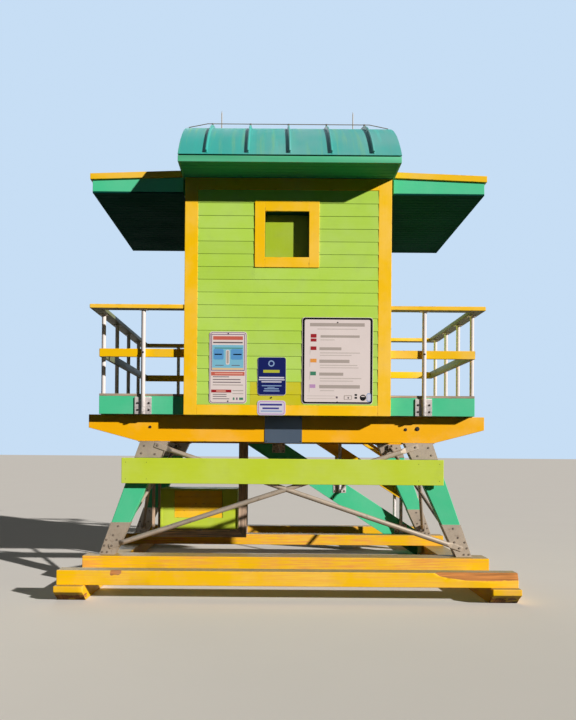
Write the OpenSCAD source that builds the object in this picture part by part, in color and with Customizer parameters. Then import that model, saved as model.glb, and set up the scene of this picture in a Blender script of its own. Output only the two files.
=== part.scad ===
// Beach lifeguard tower: a painted timber hut on a railed deck, carried by four raked legs
// on a skid of two runners. Millimetres, +Z up, -Y is the land side, origin at the middle
// of the skid's footprint on the ground.

/* [Skid] */
// Length of each runner, front to back
runner_len = 4880; // [4600:20:5400]
// Width of a runner
runner_w = 305; // [200:5:360]
// Height of a runner above the ground
runner_h = 170; // [120:5:300]
// Height of the upright top of a runner's nose
nose_lip = 62; // [40:2:100]
// Length of the sloping cut under a runner's nose
nose_cut = 150; // [60:10:300]
// Overall width across the two runners
skid_w = 4880; // [4700:20:5600]
// Height of the cross beams
cross_h = 155; // [100:5:220]
// Length of the cross beams
cross_len = 4860; // [4500:20:4900]
// Depth of the two end cross beams
end_cross_d = 190; // [120:10:260]
// Distance from a runner's end to the end cross beam
end_cross_in = 80; // [40:10:200]
// How far the front leg beam stands out in front of the legs
toe_front = 125; // [60:5:160]
// Margin of a leg beam on the legs' other faces
heel = 40; // [20:5:60]

/* [Legs] */
// Thickness of a leg, front to back
leg_t = 140; // [100:5:180]
// Width of a leg at its top
leg_top_w = 330; // [220:10:360]
// Width of a leg at its foot
leg_foot_w = 180; // [140:5:220]
// Half distance between the leg tops, centre to centre
leg_top_x = 1605; // [1450:5:1700]
// Half distance between the leg feet, centre to centre
leg_foot_x = 2160; // [2050:5:2220]
// Height of the leg tops above the ground
leg_top_z = 1690; // [1600:10:2200]
// Distance of the front legs' centre behind the deck's front edge
leg_front_in = 219; // [160:1:400]
// Distance of the rear legs' centre behind the hut's rear face
leg_rear_out = 90; // [60:5:110]
// Thickness of the steel plates on the legs
plate_t = 10; // [4:1:14]
// Height of the top plates
top_plate_h = 190; // [120:5:200]
// Height of the foot plates
foot_plate_h = 390; // [250:10:420]

/* [Braces] */
// Outside diameter of the front brace pipes
brace_od = 60; // [38:1:70]
// Outside diameter of the side brace pipes
side_brace_od = 48; // [34:1:50]
// Half distance between the front braces' upper ends
brace_top_x = 1560; // [1500:5:1640]
// Half distance between the front braces' lower ends
brace_foot_x = 2100; // [2060:5:2150]
// Height of the braces' upper ends under the leg tops
brace_top_drop = 42; // [40:1:90]
// Height of the braces' lower ends over the leg feet
brace_foot_rise = 108; // [60:1:160]

/* [Name board] */
// Length of the bare board across the front legs
board_w = 3860; // [3400:20:4200]
// Height of the board
board_h = 305; // [200:5:330]
// Thickness of the board
board_t = 40; // [25:1:50]
// Height of the board's lower edge above the ground
board_z = 1193; // [1100:1:1200]
// Sideways place of the board's middle
board_x = -45; // [-60:1:60]

/* [Deck] */
// Length of the two deck beams
beam_len = 4800; // [4500:10:4900]
// Height of the deck beams
beam_h = 320; // [240:5:380]
// Thickness of the deck beams
beam_t = 130; // [80:5:140]
// Length of the rising cut under each beam end
beam_cut = 605; // [300:5:620]
// Height left at the beam's end
beam_end_h = 160; // [100:5:200]
// Width of the deck
deck_w = 4480; // [4300:10:4700]
// Height of the green rim and the joists
rim_h = 215; // [150:5:260]
// Thickness of the rim boards and joists
rim_t = 38; // [25:1:60]
// Distance between joists
joist_gap = 400; // [300:10:600]
// Thickness of the deck boards
board_deck_t = 29; // [20:1:40]
// Depth of the stair landing behind the hut's rear face
landing_d = 780; // [770:5:900]
// Place of the landing's stair edge, from the middle
landing_x = -850; // [-1150:10:-800]

/* [Hut] */
// Width of the hut over its trim
hut_w = 2440; // [2200:10:2600]
// Depth of the hut over its trim
hut_d = 2440; // [2300:10:2600]
// Height of the walls' top above the deck boards
hut_h = 2549; // [2400:5:2900]
// Distance of the hut's land face in front of the origin
hut_front = 1470; // [1400:10:1500]
// Thickness of the walls without their trim
wall_t = 89; // [60:1:120]
// Thickness of the yellow trim boards
trim_t = 22; // [12:1:30]
// Width of the corner boards
corner_w = 155; // [90:5:200]
// Height of the band along the wall's foot
foot_band_h = 120; // [80:5:160]
// Height of the band under the soffit
top_band_h = 140; // [80:5:180]
// How far the land wall reaches below the deck rim
skirt_drop = 8; // [0:1:10]

/* [Land window] */
// Width of the window opening
win_w = 520; // [400:10:800]
// Height of the window opening
win_h = 543; // [400:1:600]
// Sideways place of the window's middle
win_x = -15; // [-60:5:60]
// Height of the window's sill above the deck boards
win_sill = 1612; // [1400:1:1640]
// Width of the yellow frame boards
frame_w = 120; // [60:5:125]
// Thickness of the yellow frame boards
frame_t = 30; // [24:1:40]
// Depth of the window's box behind the hut's face
win_box_d = 165; // [130:5:220]
// Thickness of the window box and the shutter boards
win_box_t = 18; // [10:1:25]

/* [Doorway and lookout] */
// Width of the doorway
door_w = 760; // [650:10:850]
// Height of the doorway
door_h = 1980; // [1900:10:2050]
// Distance of the doorway's middle behind the hut's middle
door_y = 500; // [300:10:520]
// Width of the seaward lookout opening
look_w = 1500; // [1200:10:1700]
// Height of the seaward lookout opening
look_h = 900; // [600:10:1000]
// Height of the lookout's sill above the deck boards
look_sill = 1100; // [900:10:1200]
// Width of the trim round the doorway and lookout
casing_w = 90; // [50:5:100]

/* [Roof] */
// How far the main roof stands past the hut's sides
roof_out = 30; // [20:5:120]
// Overhang of the eave in front of and behind the hut
eave_out = 466; // [300:2:600]
// Height of the eave fascia
fascia_h = 80; // [60:1:140]
// Thickness of the fascia and gable boards
fascia_t = 25; // [18:1:40]
// Thickness of the soffit boards
soffit_t = 20; // [12:1:30]
// Rise of the barrel vault above the fascia
vault_rise = 848; // [500:1:1100]
// Thickness of the vault's deck and metal
vault_t = 30; // [15:1:50]
// How far the metal reaches past the fascia
drip = 14; // [5:1:30]
// Distance between the standing seams
seam_gap = 467; // [300:1:600]
// Height of a standing seam
seam_h = 38; // [15:1:50]
// Width of a standing seam
seam_w = 30; // [10:1:40]
// Thickness of the arched ribs under the vault
rib_t = 38; // [25:1:60]
// Height of the two roof rods above the crown
rod_h = 430; // [200:10:600]
// Diameter of a roof rod
rod_d = 14; // [8:1:20]
// Half distance between the roof rods
rod_x = 885; // [700:5:920]
// Diameter of the conductor cable along the crown
cable_d = 10; // [6:1:14]

/* [Wing roofs] */
// Reach of a wing roof's fascia from the hut's middle
wing_reach = 2330; // [2000:10:2500]
// Place of a wing's front edge behind the hut's land face
wing_front_in = 70; // [40:5:200]
// Depth of a wing roof, front to back
wing_d = 2480; // [2200:10:2600]
// Height of the wing soffit above the deck boards
wing_soffit = 2381; // [2330:1:2400]
// Height of the wing fascia at the hut
wing_fascia_h = 195; // [180:5:240]
// Fall of the wing roof from the hut to its tip
wing_fall = 40; // [0:5:60]
// Thickness of the yellow edge on the wing roof
wing_cap_t = 72; // [40:1:90]
// How far the yellow edge stands past the fascia
wing_lip = 25; // [10:1:40]
// Thickness of the wing fascia boards
wing_board_t = 38; // [20:1:50]

/* [Rails] */
// Height of the rail's top above the deck boards
rail_h = 1050; // [900:10:1200]
// Width of the rail cap
cap_w = 140; // [90:5:142]
// Thickness of the rail cap
cap_t = 49; // [30:1:60]
// Height of the mid rail's middle above the deck boards
mid_z = 488; // [350:1:600]
// Height of the mid rail board
mid_h = 98; // [60:1:140]
// Thickness of the mid rail board
mid_t = 40; // [25:1:50]
// Outside diameter of the posts
post_od = 51; // [38:1:52]
// Width and height of the post plates
post_plate = 200; // [120:5:210]
// Thickness of the post plates
post_plate_t = 6; // [4:1:8]
// Place of the front post on the left, from the middle
front_post_left = 1712; // [1500:1:1900]
// Place of the front post on the right, from the middle
front_post_right = 1628; // [1500:1:1900]
// Number of posts along each side
side_posts = 4; // [3:1:5]
// Distance of the first left side post behind the deck's front edge
first_left = 335; // [250:5:500]
// Distance of the last left side post in front of the landing's rear edge
last_left = 480; // [250:5:500]
// Distance of the first right side post behind the deck's front edge
first_right = 240; // [210:5:500]
// Distance of the last right side post in front of the deck's rear edge
last_right = 130; // [110:5:400]
// Place of the far post on the right, from the middle
far_post_right = 1576; // [1400:1:1900]
// Place of the landing's rear post, from the middle
landing_post = 1710; // [1400:1:1900]

/* [Stair] */
// Number of treads
treads_n = 9; // [8:1:9]
// Rise of a step
tread_rise = 208; // [190:1:210]
// Run of a step
tread_run = 322; // [280:1:324]
// Depth of a tread
tread_d = 285; // [200:5:320]
// Thickness of a tread
tread_t = 38; // [25:1:50]
// Clear space between the rear leg beam and the stair
stair_gap = 50; // [46:2:60]
// Width of the stair's rail caps
stair_cap_w = 90; // [70:2:90]
// Thickness of a stringer
stringer_t = 38; // [30:1:50]
// Upright depth of a stringer
stringer_h = 390; // [300:5:395]
// Height of the stair rail's top above the step noses
stair_rail_h = 880; // [800:5:1000]
// Upright height of the stair's mid rail board
stair_mid_h = 190; // [120:5:220]
// Height of the stair's mid rail above the step noses
stair_mid_z = 345; // [250:5:400]
// Distance of the first stair post from the landing
stair_post_first = 780; // [600:10:820]
// Distance between the stair posts
stair_post_gap = 950; // [850:10:950]

/* [Locker] */
// Width of the storage locker
locker_w = 1100; // [900:10:1110]
// Height of the locker
locker_h = 572; // [400:1:650]
// Depth of the locker
locker_d = 500; // [400:10:520]
// Place of the locker's right side, from the middle
locker_x = -657; // [-670:1:-600]
// Height of the cradle's underside above the ground
cradle_z = 357; // [340:1:420]
// Place of the cradle's front face behind the deck's front edge
cradle_in = 1651; // [1500:1:1700]
// Height of the cradle's rails
cradle_rail_h = 92; // [70:1:120]
// Thickness of the cradle's timbers
cradle_t = 38; // [25:1:40]
// Width of the broad hangers on the locker's right
hanger_w = 114; // [80:1:120]
// Width of the yellow boarded panel
panel_w = 686; // [500:1:800]
// Height of the yellow boarded panel
panel_h = 386; // [300:1:450]
// Distance of the panel from the locker's left side
panel_in = 200; // [60:5:280]
// Height of the panel above the locker's bottom
panel_up = 158; // [60:1:166]
// How far the cradle reaches past the locker's left side
cradle_left = 114; // [60:1:140]
// Clear space between the locker and the broad hangers
hanger_gap = 14; // [5:1:30]

/* [Number plate] */
// Width of the bare plate on the front beam
sign_w = 452; // [300:2:600]
// Height of the bare plate
sign_h = 325; // [200:5:330]
// Thickness of the bare plate
sign_t = 8; // [3:1:12]
// Sideways place of the plate's middle
sign_x = -37; // [-60:1:60]

/* [Hidden] */
$fn = 96;
arc_fn = 480;

yellow = [0.99, 0.74, 0.16];
lime = [0.70, 0.84, 0.33];
board_lime = [0.74, 0.84, 0.24];
green = [0.28, 0.78, 0.55];
dark_green = [0.10, 0.36, 0.28];
teal = [0.33, 0.70, 0.55];
bare_wood = [0.72, 0.62, 0.50];
galvanised = [0.66, 0.60, 0.52];
white_paint = [0.92, 0.88, 0.85];
slate = [0.27, 0.33, 0.40];

runner_in_x = skid_w / 2 - runner_w;
leg_foot_z = runner_h + cross_h;
beam_z = leg_top_z + plate_t;
deck_z = beam_z + beam_h;
floor_z = deck_z + rim_h;
walk_z = floor_z + board_deck_t;
wall_top_z = walk_z + hut_h;

hut_y0 = -hut_front;
hut_y1 = hut_y0 + hut_d;
hut_mid_y = (hut_y0 + hut_y1) / 2;
face_x = hut_w / 2 - trim_t;
face_y0 = hut_y0 + trim_t;
face_y1 = hut_y1 - trim_t;
room_x = face_x - wall_t;
room_y0 = face_y0 + wall_t;
room_y1 = face_y1 - wall_t;

win_z = walk_z + win_sill;
door_z = walk_z + door_h;
look_z = walk_z + look_sill;
door_y0 = hut_mid_y + door_y - door_w / 2;
door_y1 = door_y0 + door_w;
skirt_z = deck_z - skirt_drop;

deck_y0 = room_y0;
deck_y1 = hut_y1;
landing_y = deck_y1 + landing_d;
deck_x = deck_w / 2;

leg_front_y = deck_y0 + leg_front_in;
leg_rear_y = hut_y1 + leg_rear_out;
cross_front_y = leg_front_y - leg_t / 2 - toe_front;
cross_front_d = toe_front + leg_t + heel;
cross_rear_y = leg_rear_y - leg_t / 2 - heel;
cross_rear_d = leg_t + 2 * heel;
leg_face_y = leg_front_y - leg_t / 2;
brace_top_z = leg_top_z - brace_top_drop;
brace_foot_z = leg_foot_z + brace_foot_rise;
brace_y = leg_face_y - plate_t - brace_od / 2;
brace_press = 160;
board_y = brace_y - brace_od / 2 - board_t;

post_off = post_plate_t + post_od / 2 - 3;
post_x = deck_x + post_off;
post_front_y = deck_y0 - post_off;
post_rear_y = deck_y1 + post_off;
post_landing_y = landing_y + post_off;
cap_z = walk_z + rail_h - cap_t;

roof_w = hut_w + 2 * roof_out;
eave_y0 = hut_y0 - eave_out;
eave_y1 = hut_y1 + eave_out;
fascia_top_z = wall_top_z + fascia_h;
vault_half = (eave_y1 - eave_y0) / 2 + drip;
vault_r = (vault_half * vault_half + vault_rise * vault_rise) / (2 * vault_rise);
vault_cz = fascia_top_z + vault_rise - vault_r;

wing_z = walk_z + wing_soffit;
wing_y0 = hut_y0 + wing_front_in;
wing_y1 = wing_y0 + wing_d;
wing_x0 = roof_w / 2;

slope = tread_rise / tread_run;
stair_y = cross_rear_y + cross_rear_d + stair_gap;
stair_w = landing_y - stair_y;
stair_foot_x = landing_x + treads_n * tread_run + 50;
near_post_y = stair_y - post_off;
far_post_y = stair_y + stair_w + post_off;
rail_start_x = landing_x + 60;

cradle_y = deck_y0 + cradle_in;
slat_t = 22;
locker_y = cradle_y + cradle_t;
locker_z = cradle_z + cradle_rail_h + slat_t;
cradle_x1 = locker_x + hanger_gap + hanger_w;
cradle_x0 = locker_x - locker_w - cradle_left;
locker_wall = 18;
panel_x0 = locker_x - locker_w + panel_in;
panel_z0 = locker_z + panel_up;

// Height of the line of step noses at a place along the stair
function nose_z(x) = walk_z - slope * (x - landing_x);

// Middle and width of a leg at a height
function leg_part(z) = (leg_top_z - z) / (leg_top_z - leg_foot_z);
function leg_mid(z) = leg_top_x + leg_part(z) * (leg_foot_x - leg_top_x);
function leg_width(z) = leg_top_w + leg_part(z) * (leg_foot_w - leg_top_w);

// Underside of the wing roof's yellow edge at a distance from the middle
function wing_top(x) = wing_z + wing_fascia_h - wing_fall * (x - wing_x0) / (wing_reach - wing_x0);

// A box between two corners
module block(lo, hi) {
    translate(lo) cube(hi - lo);
}

// An outline in X and Z, given its thickness from y0 towards +Y
module slab_xz(y0, t) {
    translate([0, y0 + t, 0]) rotate([90, 0, 0]) linear_extrude(t) children();
}

// An outline in Y and Z, given its thickness from x0 towards +X
module slab_yz(x0, t) {
    translate([x0, 0, 0]) rotate([90, 0, 90]) linear_extrude(t) children();
}

// A round bar between two points
module bar(p, q, d) {
    v = q - p;
    translate(p)
        rotate([0, acos(v[2] / norm(v)), atan2(v[1], v[0])])
            cylinder(d = d, h = norm(v));
}

// A piece and its mirror image on the other side
module both_sides() {
    children();
    mirror([1, 0, 0]) children();
}

// SKID
module runner() {
    half = runner_len / 2;
    slab_yz(runner_in_x, runner_w)
        polygon([
            [-half + nose_cut, 0], [half - nose_cut, 0], [half, runner_h - nose_lip],
            [half, runner_h], [-half, runner_h], [-half, runner_h - nose_lip]
        ]);
}

module runner_left() {
    color(yellow) mirror([1, 0, 0]) runner();
}

module runner_right() {
    color(yellow) runner();
}

module cross_beam(y, d) {
    block([-cross_len / 2, y, runner_h], [cross_len / 2, y + d, leg_foot_z]);
}

module cross_beams() {
    end_y = runner_len / 2 - end_cross_in;
    color(yellow) {
        cross_beam(-end_y, end_cross_d);
        cross_beam(cross_front_y, cross_front_d);
        cross_beam(cross_rear_y, cross_rear_d);
        cross_beam(end_y - end_cross_d, end_cross_d);
    }
}

// LEGS AND BRACES
module leg_outline(z0, z1) {
    polygon([
        [leg_mid(z0) - leg_width(z0) / 2, z0], [leg_mid(z0) + leg_width(z0) / 2, z0],
        [leg_mid(z1) + leg_width(z1) / 2, z1], [leg_mid(z1) - leg_width(z1) / 2, z1]
    ]);
}

module legs() {
    color(green)
        for (y = [leg_front_y, leg_rear_y])
            both_sides() slab_xz(y - leg_t / 2, leg_t) leg_outline(leg_foot_z, leg_top_z);
}

// Face plates on both ends of every leg, and the cap plate that carries the beam
module leg_plates() {
    cap_in = 25;
    color(galvanised)
        for (y = [leg_front_y, leg_rear_y])
            both_sides() {
                for (face = [y - leg_t / 2 - plate_t, y + leg_t / 2]) {
                    slab_xz(face, plate_t) leg_outline(leg_top_z - top_plate_h, leg_top_z);
                    slab_xz(face, plate_t) leg_outline(leg_foot_z, leg_foot_z + foot_plate_h);
                }
                block(
                    [leg_top_x - leg_top_w / 2 - cap_in, y - leg_t / 2 - plate_t, leg_top_z],
                    [leg_top_x + leg_top_w / 2 + cap_in, y + leg_t / 2 + plate_t, beam_z]
                );
            }
}

// The flat end of a pipe that lies along X, pressed towards the leg plate behind it
module pressed_end() {
    tab_t = 12;
    tab_w = brace_od * 1.1;
    back = brace_od / 2;
    flat = 20;
    reach = 40;
    core = back * 0.85;
    translate([0, 0, -tab_w / 2])
        linear_extrude(tab_w)
            polygon([
                [-reach, back - tab_t], [flat, back - tab_t], [brace_press, -core],
                [brace_press, core], [flat, back], [-reach, back]
            ]);
}

// One pipe of the front cross, from a leg's foot on one side to a leg's top on the other
module pressed_pipe(side) {
    foot = [-side * brace_foot_x, brace_y, brace_foot_z];
    head = [side * brace_top_x, brace_y, brace_top_z];
    v = head - foot;
    bite = 20;
    translate(foot)
        rotate([0, -atan2(v[2], v[0]), 0]) {
            translate([brace_press - bite, 0, 0])
                rotate([0, 90, 0]) cylinder(d = brace_od, h = norm(v) - 2 * (brace_press - bite));
            pressed_end();
            translate([norm(v), 0, 0]) mirror([1, 0, 0]) pressed_end();
        }
}

module front_brace() {
    color(galvanised)
        union() {
            pressed_pipe(1);
            pressed_pipe(-1);
        }
}

// Two crossing pipes between the front and rear legs, with a lug on each leg plate
module side_brace() {
    lug = [64, 44, 90];
    y0 = leg_front_y + leg_t / 2 + plate_t;
    y1 = leg_rear_y - leg_t / 2 - plate_t;
    low_x = leg_mid(brace_foot_z);
    high_x = leg_mid(brace_top_z);
    ends = [
        [[low_x, y0, brace_foot_z], [high_x, y1, brace_top_z]],
        [[high_x, y0, brace_top_z], [low_x, y1, brace_foot_z]]
    ];
    union()
        for (pair = ends) {
            bar(pair[0] + [0, lug[1] / 2, 0], pair[1] - [0, lug[1] / 2, 0], side_brace_od);
            translate(pair[0] - [lug[0] / 2, 0, lug[2] / 2]) cube(lug);
            translate(pair[1] - [lug[0] / 2, lug[1], lug[2] / 2]) cube(lug);
        }
}

module side_brace_left() {
    color(galvanised) mirror([1, 0, 0]) side_brace();
}

module side_brace_right() {
    color(galvanised) side_brace();
}

// The board in front of the cross, and the cleats that hold it off the legs
module name_board() {
    cleat_w = 110;
    cleat_in = 25;
    mid_x = leg_mid(board_z + board_h / 2);
    color(board_lime)
        union() {
            block(
                [board_x - board_w / 2, board_y, board_z],
                [board_x + board_w / 2, board_y + board_t, board_z + board_h]
            );
            both_sides()
                block(
                    [mid_x - cleat_w / 2, board_y + board_t, board_z + cleat_in],
                    [mid_x + cleat_w / 2, leg_face_y, board_z + board_h - cleat_in]
                );
        }
}

// DECK
module deck_beam(y) {
    half = beam_len / 2;
    slab_xz(y - beam_t / 2, beam_t)
        polygon([
            [-half, deck_z], [-half, deck_z - beam_end_h], [-half + beam_cut, beam_z],
            [half - beam_cut, beam_z], [half, deck_z - beam_end_h], [half, deck_z]
        ]);
}

module front_beam() {
    color(yellow) deck_beam(leg_front_y);
}

module rear_beam() {
    color(yellow) deck_beam(leg_rear_y);
}

module number_plate() {
    color(slate)
        translate([sign_x - sign_w / 2, leg_front_y - beam_t / 2 - sign_t, deck_z - 5 - sign_h])
            cube([sign_w, sign_t, sign_h]);
}

// Outline of the deck with the landing, taken in from its edge on every side
module deck_outline(in) {
    polygon([
        [-deck_x + in, deck_y0 + in], [deck_x - in, deck_y0 + in],
        [deck_x - in, deck_y1 - in], [landing_x - in, deck_y1 - in],
        [landing_x - in, landing_y - in], [-deck_x + in, landing_y - in]
    ]);
}

module deck_rim() {
    color(green)
        translate([0, 0, deck_z])
            linear_extrude(rim_h)
                difference() {
                    deck_outline(0);
                    deck_outline(rim_t);
                }
}

module joists() {
    count = floor((deck_x - rim_t - joist_gap / 4) / joist_gap);
    color(bare_wood)
        for (i = [-count:count]) {
            x = i * joist_gap;
            on_landing = x + rim_t / 2 < landing_x - rim_t;
            y1 = on_landing ? landing_y - rim_t : deck_y1 - rim_t;
            block([x - rim_t / 2, deck_y0 + rim_t, deck_z], [x + rim_t / 2, y1, floor_z]);
        }
}

module deck_left() {
    color(bare_wood) block([-deck_x, deck_y0, floor_z], [-hut_w / 2, deck_y1, walk_z]);
}

module deck_right() {
    color(bare_wood) block([hut_w / 2, deck_y0, floor_z], [deck_x, deck_y1, walk_z]);
}

module hut_floor() {
    color(bare_wood) block([-hut_w / 2, deck_y0, floor_z], [hut_w / 2, deck_y1, walk_z]);
}

module landing_boards() {
    color(bare_wood) block([-deck_x, deck_y1, floor_z], [landing_x, landing_y, walk_z]);
}

// HUT
module front_wall() {
    color(lime)
        difference() {
            block([-face_x, face_y0, skirt_z], [face_x, room_y0, wall_top_z]);
            block(
                [win_x - win_w / 2 - win_box_t, face_y0 - 1, win_z - win_box_t],
                [win_x + win_w / 2 + win_box_t, room_y0 + 1, win_z + win_h + win_box_t]
            );
        }
}

module right_wall() {
    color(lime) block([room_x, room_y0, walk_z], [face_x, room_y1, wall_top_z]);
}

module left_wall_front() {
    color(lime) block([-face_x, room_y0, walk_z], [-room_x, door_y0, wall_top_z]);
}

module left_wall_rear() {
    color(lime) block([-face_x, door_y1, walk_z], [-room_x, room_y1, wall_top_z]);
}

module left_wall_over_door() {
    color(lime) block([-face_x, door_y0, door_z], [-room_x, door_y1, wall_top_z]);
}

module rear_wall() {
    color(lime)
        difference() {
            block([-face_x, room_y1, walk_z], [face_x, face_y1, wall_top_z]);
            block([-look_w / 2, room_y1 - 1, look_z], [look_w / 2, face_y1 + 1, look_z + look_h]);
        }
}

// A corner board wraps its corner and, at the land side, reaches down over the rim
module corner_boards() {
    half = hut_w / 2;
    color(yellow) {
        both_sides() {
            block([half - corner_w, hut_y0, skirt_z], [half, face_y0, wall_top_z]);
            block([face_x, face_y0, skirt_z], [half, room_y0, walk_z]);
            block([face_x, face_y0, walk_z], [half, hut_y0 + corner_w, wall_top_z]);
            block([half - corner_w, face_y1, walk_z], [half, hut_y1, wall_top_z]);
            block([face_x, hut_y1 - corner_w, walk_z], [half, face_y1, wall_top_z]);
        }
    }
}

module band_boards() {
    in_x = hut_w / 2 - corner_w;
    y0 = hut_y0 + corner_w;
    y1 = hut_y1 - corner_w;
    top_z = wall_top_z - top_band_h;
    foot_z = walk_z + foot_band_h;
    color(yellow) {
        block([-in_x, hut_y0, skirt_z], [in_x, face_y0, skirt_z + foot_band_h]);
        block([-in_x, hut_y0, top_z], [in_x, face_y0, wall_top_z]);
        block([-in_x, face_y1, walk_z], [in_x, hut_y1, foot_z]);
        block([-in_x, face_y1, top_z], [in_x, hut_y1, wall_top_z]);
        both_sides() block([face_x, y0, top_z], [hut_w / 2, y1, wall_top_z]);
        block([face_x, y0, walk_z], [hut_w / 2, y1, foot_z]);
        block([-hut_w / 2, y0, walk_z], [-face_x, door_y0 - casing_w, foot_z]);
        block([-hut_w / 2, door_y1 + casing_w, walk_z], [-face_x, y1, foot_z]);
    }
}

// Yellow boards round the window, with the box that lines its hole
module window_frame() {
    x0 = win_x - win_w / 2;
    x1 = win_x + win_w / 2;
    z1 = win_z + win_h;
    color(yellow)
        difference() {
            union() {
                block(
                    [x0 - frame_w, face_y0 - frame_t, win_z - frame_w],
                    [x1 + frame_w, face_y0, z1 + frame_w]
                );
                block(
                    [x0 - win_box_t, face_y0 - frame_t, win_z - win_box_t],
                    [x1 + win_box_t, hut_y0 + win_box_d, z1 + win_box_t]
                );
            }
            block([x0, hut_y0 - frame_t, win_z], [x1, hut_y0 + win_box_d + 1, z1]);
        }
}

module window_shutter() {
    lap = 35;
    y = hut_y0 + win_box_d;
    color(lime)
        block(
            [win_x - win_w / 2 - lap, y, win_z - lap],
            [win_x + win_w / 2 + lap, y + win_box_t, win_z + win_h + lap]
        );
}

module door_casing() {
    color(yellow)
        slab_yz(-hut_w / 2, trim_t)
            difference() {
                translate([door_y0 - casing_w, walk_z])
                    square([door_w + 2 * casing_w, door_h + casing_w]);
                translate([door_y0, walk_z - 1]) square([door_w, door_h + 1]);
            }
}

module lookout_casing() {
    color(yellow)
        slab_xz(face_y1, trim_t)
            difference() {
                translate([-look_w / 2 - casing_w, look_z - casing_w])
                    square([look_w + 2 * casing_w, look_h + 2 * casing_w]);
                translate([-look_w / 2, look_z]) square([look_w, look_h]);
            }
}

// MAIN ROOF
module soffit() {
    half = roof_w / 2 - fascia_t;
    color(dark_green)
        block(
            [-half, eave_y0 + fascia_t, wall_top_z],
            [half, eave_y1 - fascia_t, wall_top_z + soffit_t]
        );
}

module eave_fascia() {
    half = roof_w / 2;
    color(green)
        difference() {
            block([-half, eave_y0, wall_top_z], [half, eave_y1, fascia_top_z]);
            block(
                [-half + fascia_t, eave_y0 + fascia_t, wall_top_z - 1],
                [half - fascia_t, eave_y1 - fascia_t, fascia_top_z + 1]
            );
        }
}

// The part of a round disc above the fascia, standing in Y and Z
module vault_slice(r, z0) {
    intersection() {
        translate([hut_mid_y, vault_cz]) circle(r, $fn = arc_fn);
        translate([hut_mid_y - r, z0]) square([2 * r, r + vault_cz - z0 + 1]);
    }
}

module roof_vault() {
    color(teal)
        slab_yz(-roof_w / 2, roof_w)
            difference() {
                vault_slice(vault_r, fascia_top_z);
                translate([hut_mid_y, vault_cz]) circle(vault_r - vault_t, $fn = arc_fn);
            }
}

module roof_seams() {
    count = floor((roof_w / 2 - seam_w) / seam_gap);
    color(teal)
        for (i = [-count:count])
            slab_yz(i * seam_gap - seam_w / 2, seam_w)
                difference() {
                    vault_slice(vault_r + seam_h, fascia_top_z);
                    translate([hut_mid_y, vault_cz]) circle(vault_r, $fn = arc_fn);
                }
}

// Boarded ends that close the vault
module gables() {
    recess = 12;
    r = vault_r - vault_t;
    color(green)
        both_sides()
            slab_yz(roof_w / 2 - fascia_t, fascia_t - recess)
                vault_slice(r, fascia_top_z);
}

// Arched ribs between the soffit and the vault
module roof_ribs() {
    ribs = 4;
    pitch = (roof_w - 2 * fascia_t - rib_t) / (ribs + 1);
    r = vault_r - vault_t;
    base = fascia_t + drip + vault_t * 3;
    color(bare_wood)
        for (i = [1:ribs])
            slab_yz(-roof_w / 2 + fascia_t + i * pitch, rib_t)
                intersection() {
                    vault_slice(r, wall_top_z + soffit_t);
                    translate([eave_y0 + base, wall_top_z])
                        square([eave_y1 - eave_y0 - 2 * base, vault_rise + fascia_h]);
                }
}

// Two pointed rods on the crown, with the cable clamped along it between them
module roof_rods() {
    foot_h = 30;
    crown = vault_cz + vault_r;
    color(galvanised) {
        union() {
            both_sides()
                translate([rod_x, hut_mid_y, crown]) {
                    cylinder(d = rod_d * 4, h = foot_h);
                    cylinder(d = rod_d, h = rod_h - rod_d);
                    translate([0, 0, rod_h - rod_d]) cylinder(d1 = rod_d, d2 = 1, h = rod_d * 2);
                }
            bar(
                [-rod_x, hut_mid_y, crown + seam_h + cable_d / 2],
                [rod_x, hut_mid_y, crown + seam_h + cable_d / 2],
                cable_d
            );
        }
    }
}

// WING ROOFS
module wing_profile(x0, x1, z0_in, z0_out, z1_in, z1_out) {
    polygon([[x0, z0_in], [x1, z0_out], [x1, z1_out], [x0, z1_in]]);
}

// Fascia boards on four sides, the soffit they hold and the ledger on the hut
module wing() {
    inner_lo = [wing_x0 + wing_board_t, wing_y0 + wing_board_t, wing_z + soffit_t];
    inner_hi = [wing_reach - wing_board_t, wing_y1 - wing_board_t, wing_z + wing_fascia_h + 1];
    union() {
        difference() {
            slab_xz(wing_y0, wing_d)
                wing_profile(
                    wing_x0, wing_reach, wing_z, wing_z, wing_top(wing_x0), wing_top(wing_reach)
                );
            block(inner_lo, inner_hi);
        }
        block(
            [hut_w / 2, hut_y0 + corner_w, wing_z],
            [wing_x0, hut_y1 - corner_w, wall_top_z - 3]
        );
    }
}

module wing_cap() {
    slab_xz(wing_y0 - wing_lip, wing_d + 2 * wing_lip)
        wing_profile(
            wing_x0, wing_reach + wing_lip,
            wing_top(wing_x0), wing_top(wing_reach + wing_lip),
            wing_top(wing_x0) + wing_cap_t, wing_top(wing_reach + wing_lip) + wing_cap_t
        );
}

module wing_left() {
    color(green) mirror([1, 0, 0]) wing();
}

module wing_right() {
    color(green) wing();
}

module wing_cap_left() {
    color(yellow) mirror([1, 0, 0]) wing_cap();
}

module wing_cap_right() {
    color(yellow) wing_cap();
}

// DECK RAILS
// Cap board that runs along the front, the side and the back, mitred at its corners
module rail_cap(rear_y, rear_end_x) {
    half = cap_w / 2;
    translate([0, 0, cap_z])
        linear_extrude(cap_t)
            polygon([
                [hut_w / 2, post_front_y - half], [post_x + half, post_front_y - half],
                [post_x + half, rear_y + half], [rear_end_x, rear_y + half],
                [rear_end_x, rear_y - half], [post_x - half, rear_y - half],
                [post_x - half, post_front_y + half], [hut_w / 2, post_front_y + half]
            ]);
}

module rail_cap_left() {
    color(yellow) mirror([1, 0, 0]) rail_cap(post_landing_y, -landing_x);
}

module rail_cap_right() {
    color(yellow) rail_cap(post_rear_y, hut_w / 2);
}

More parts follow.
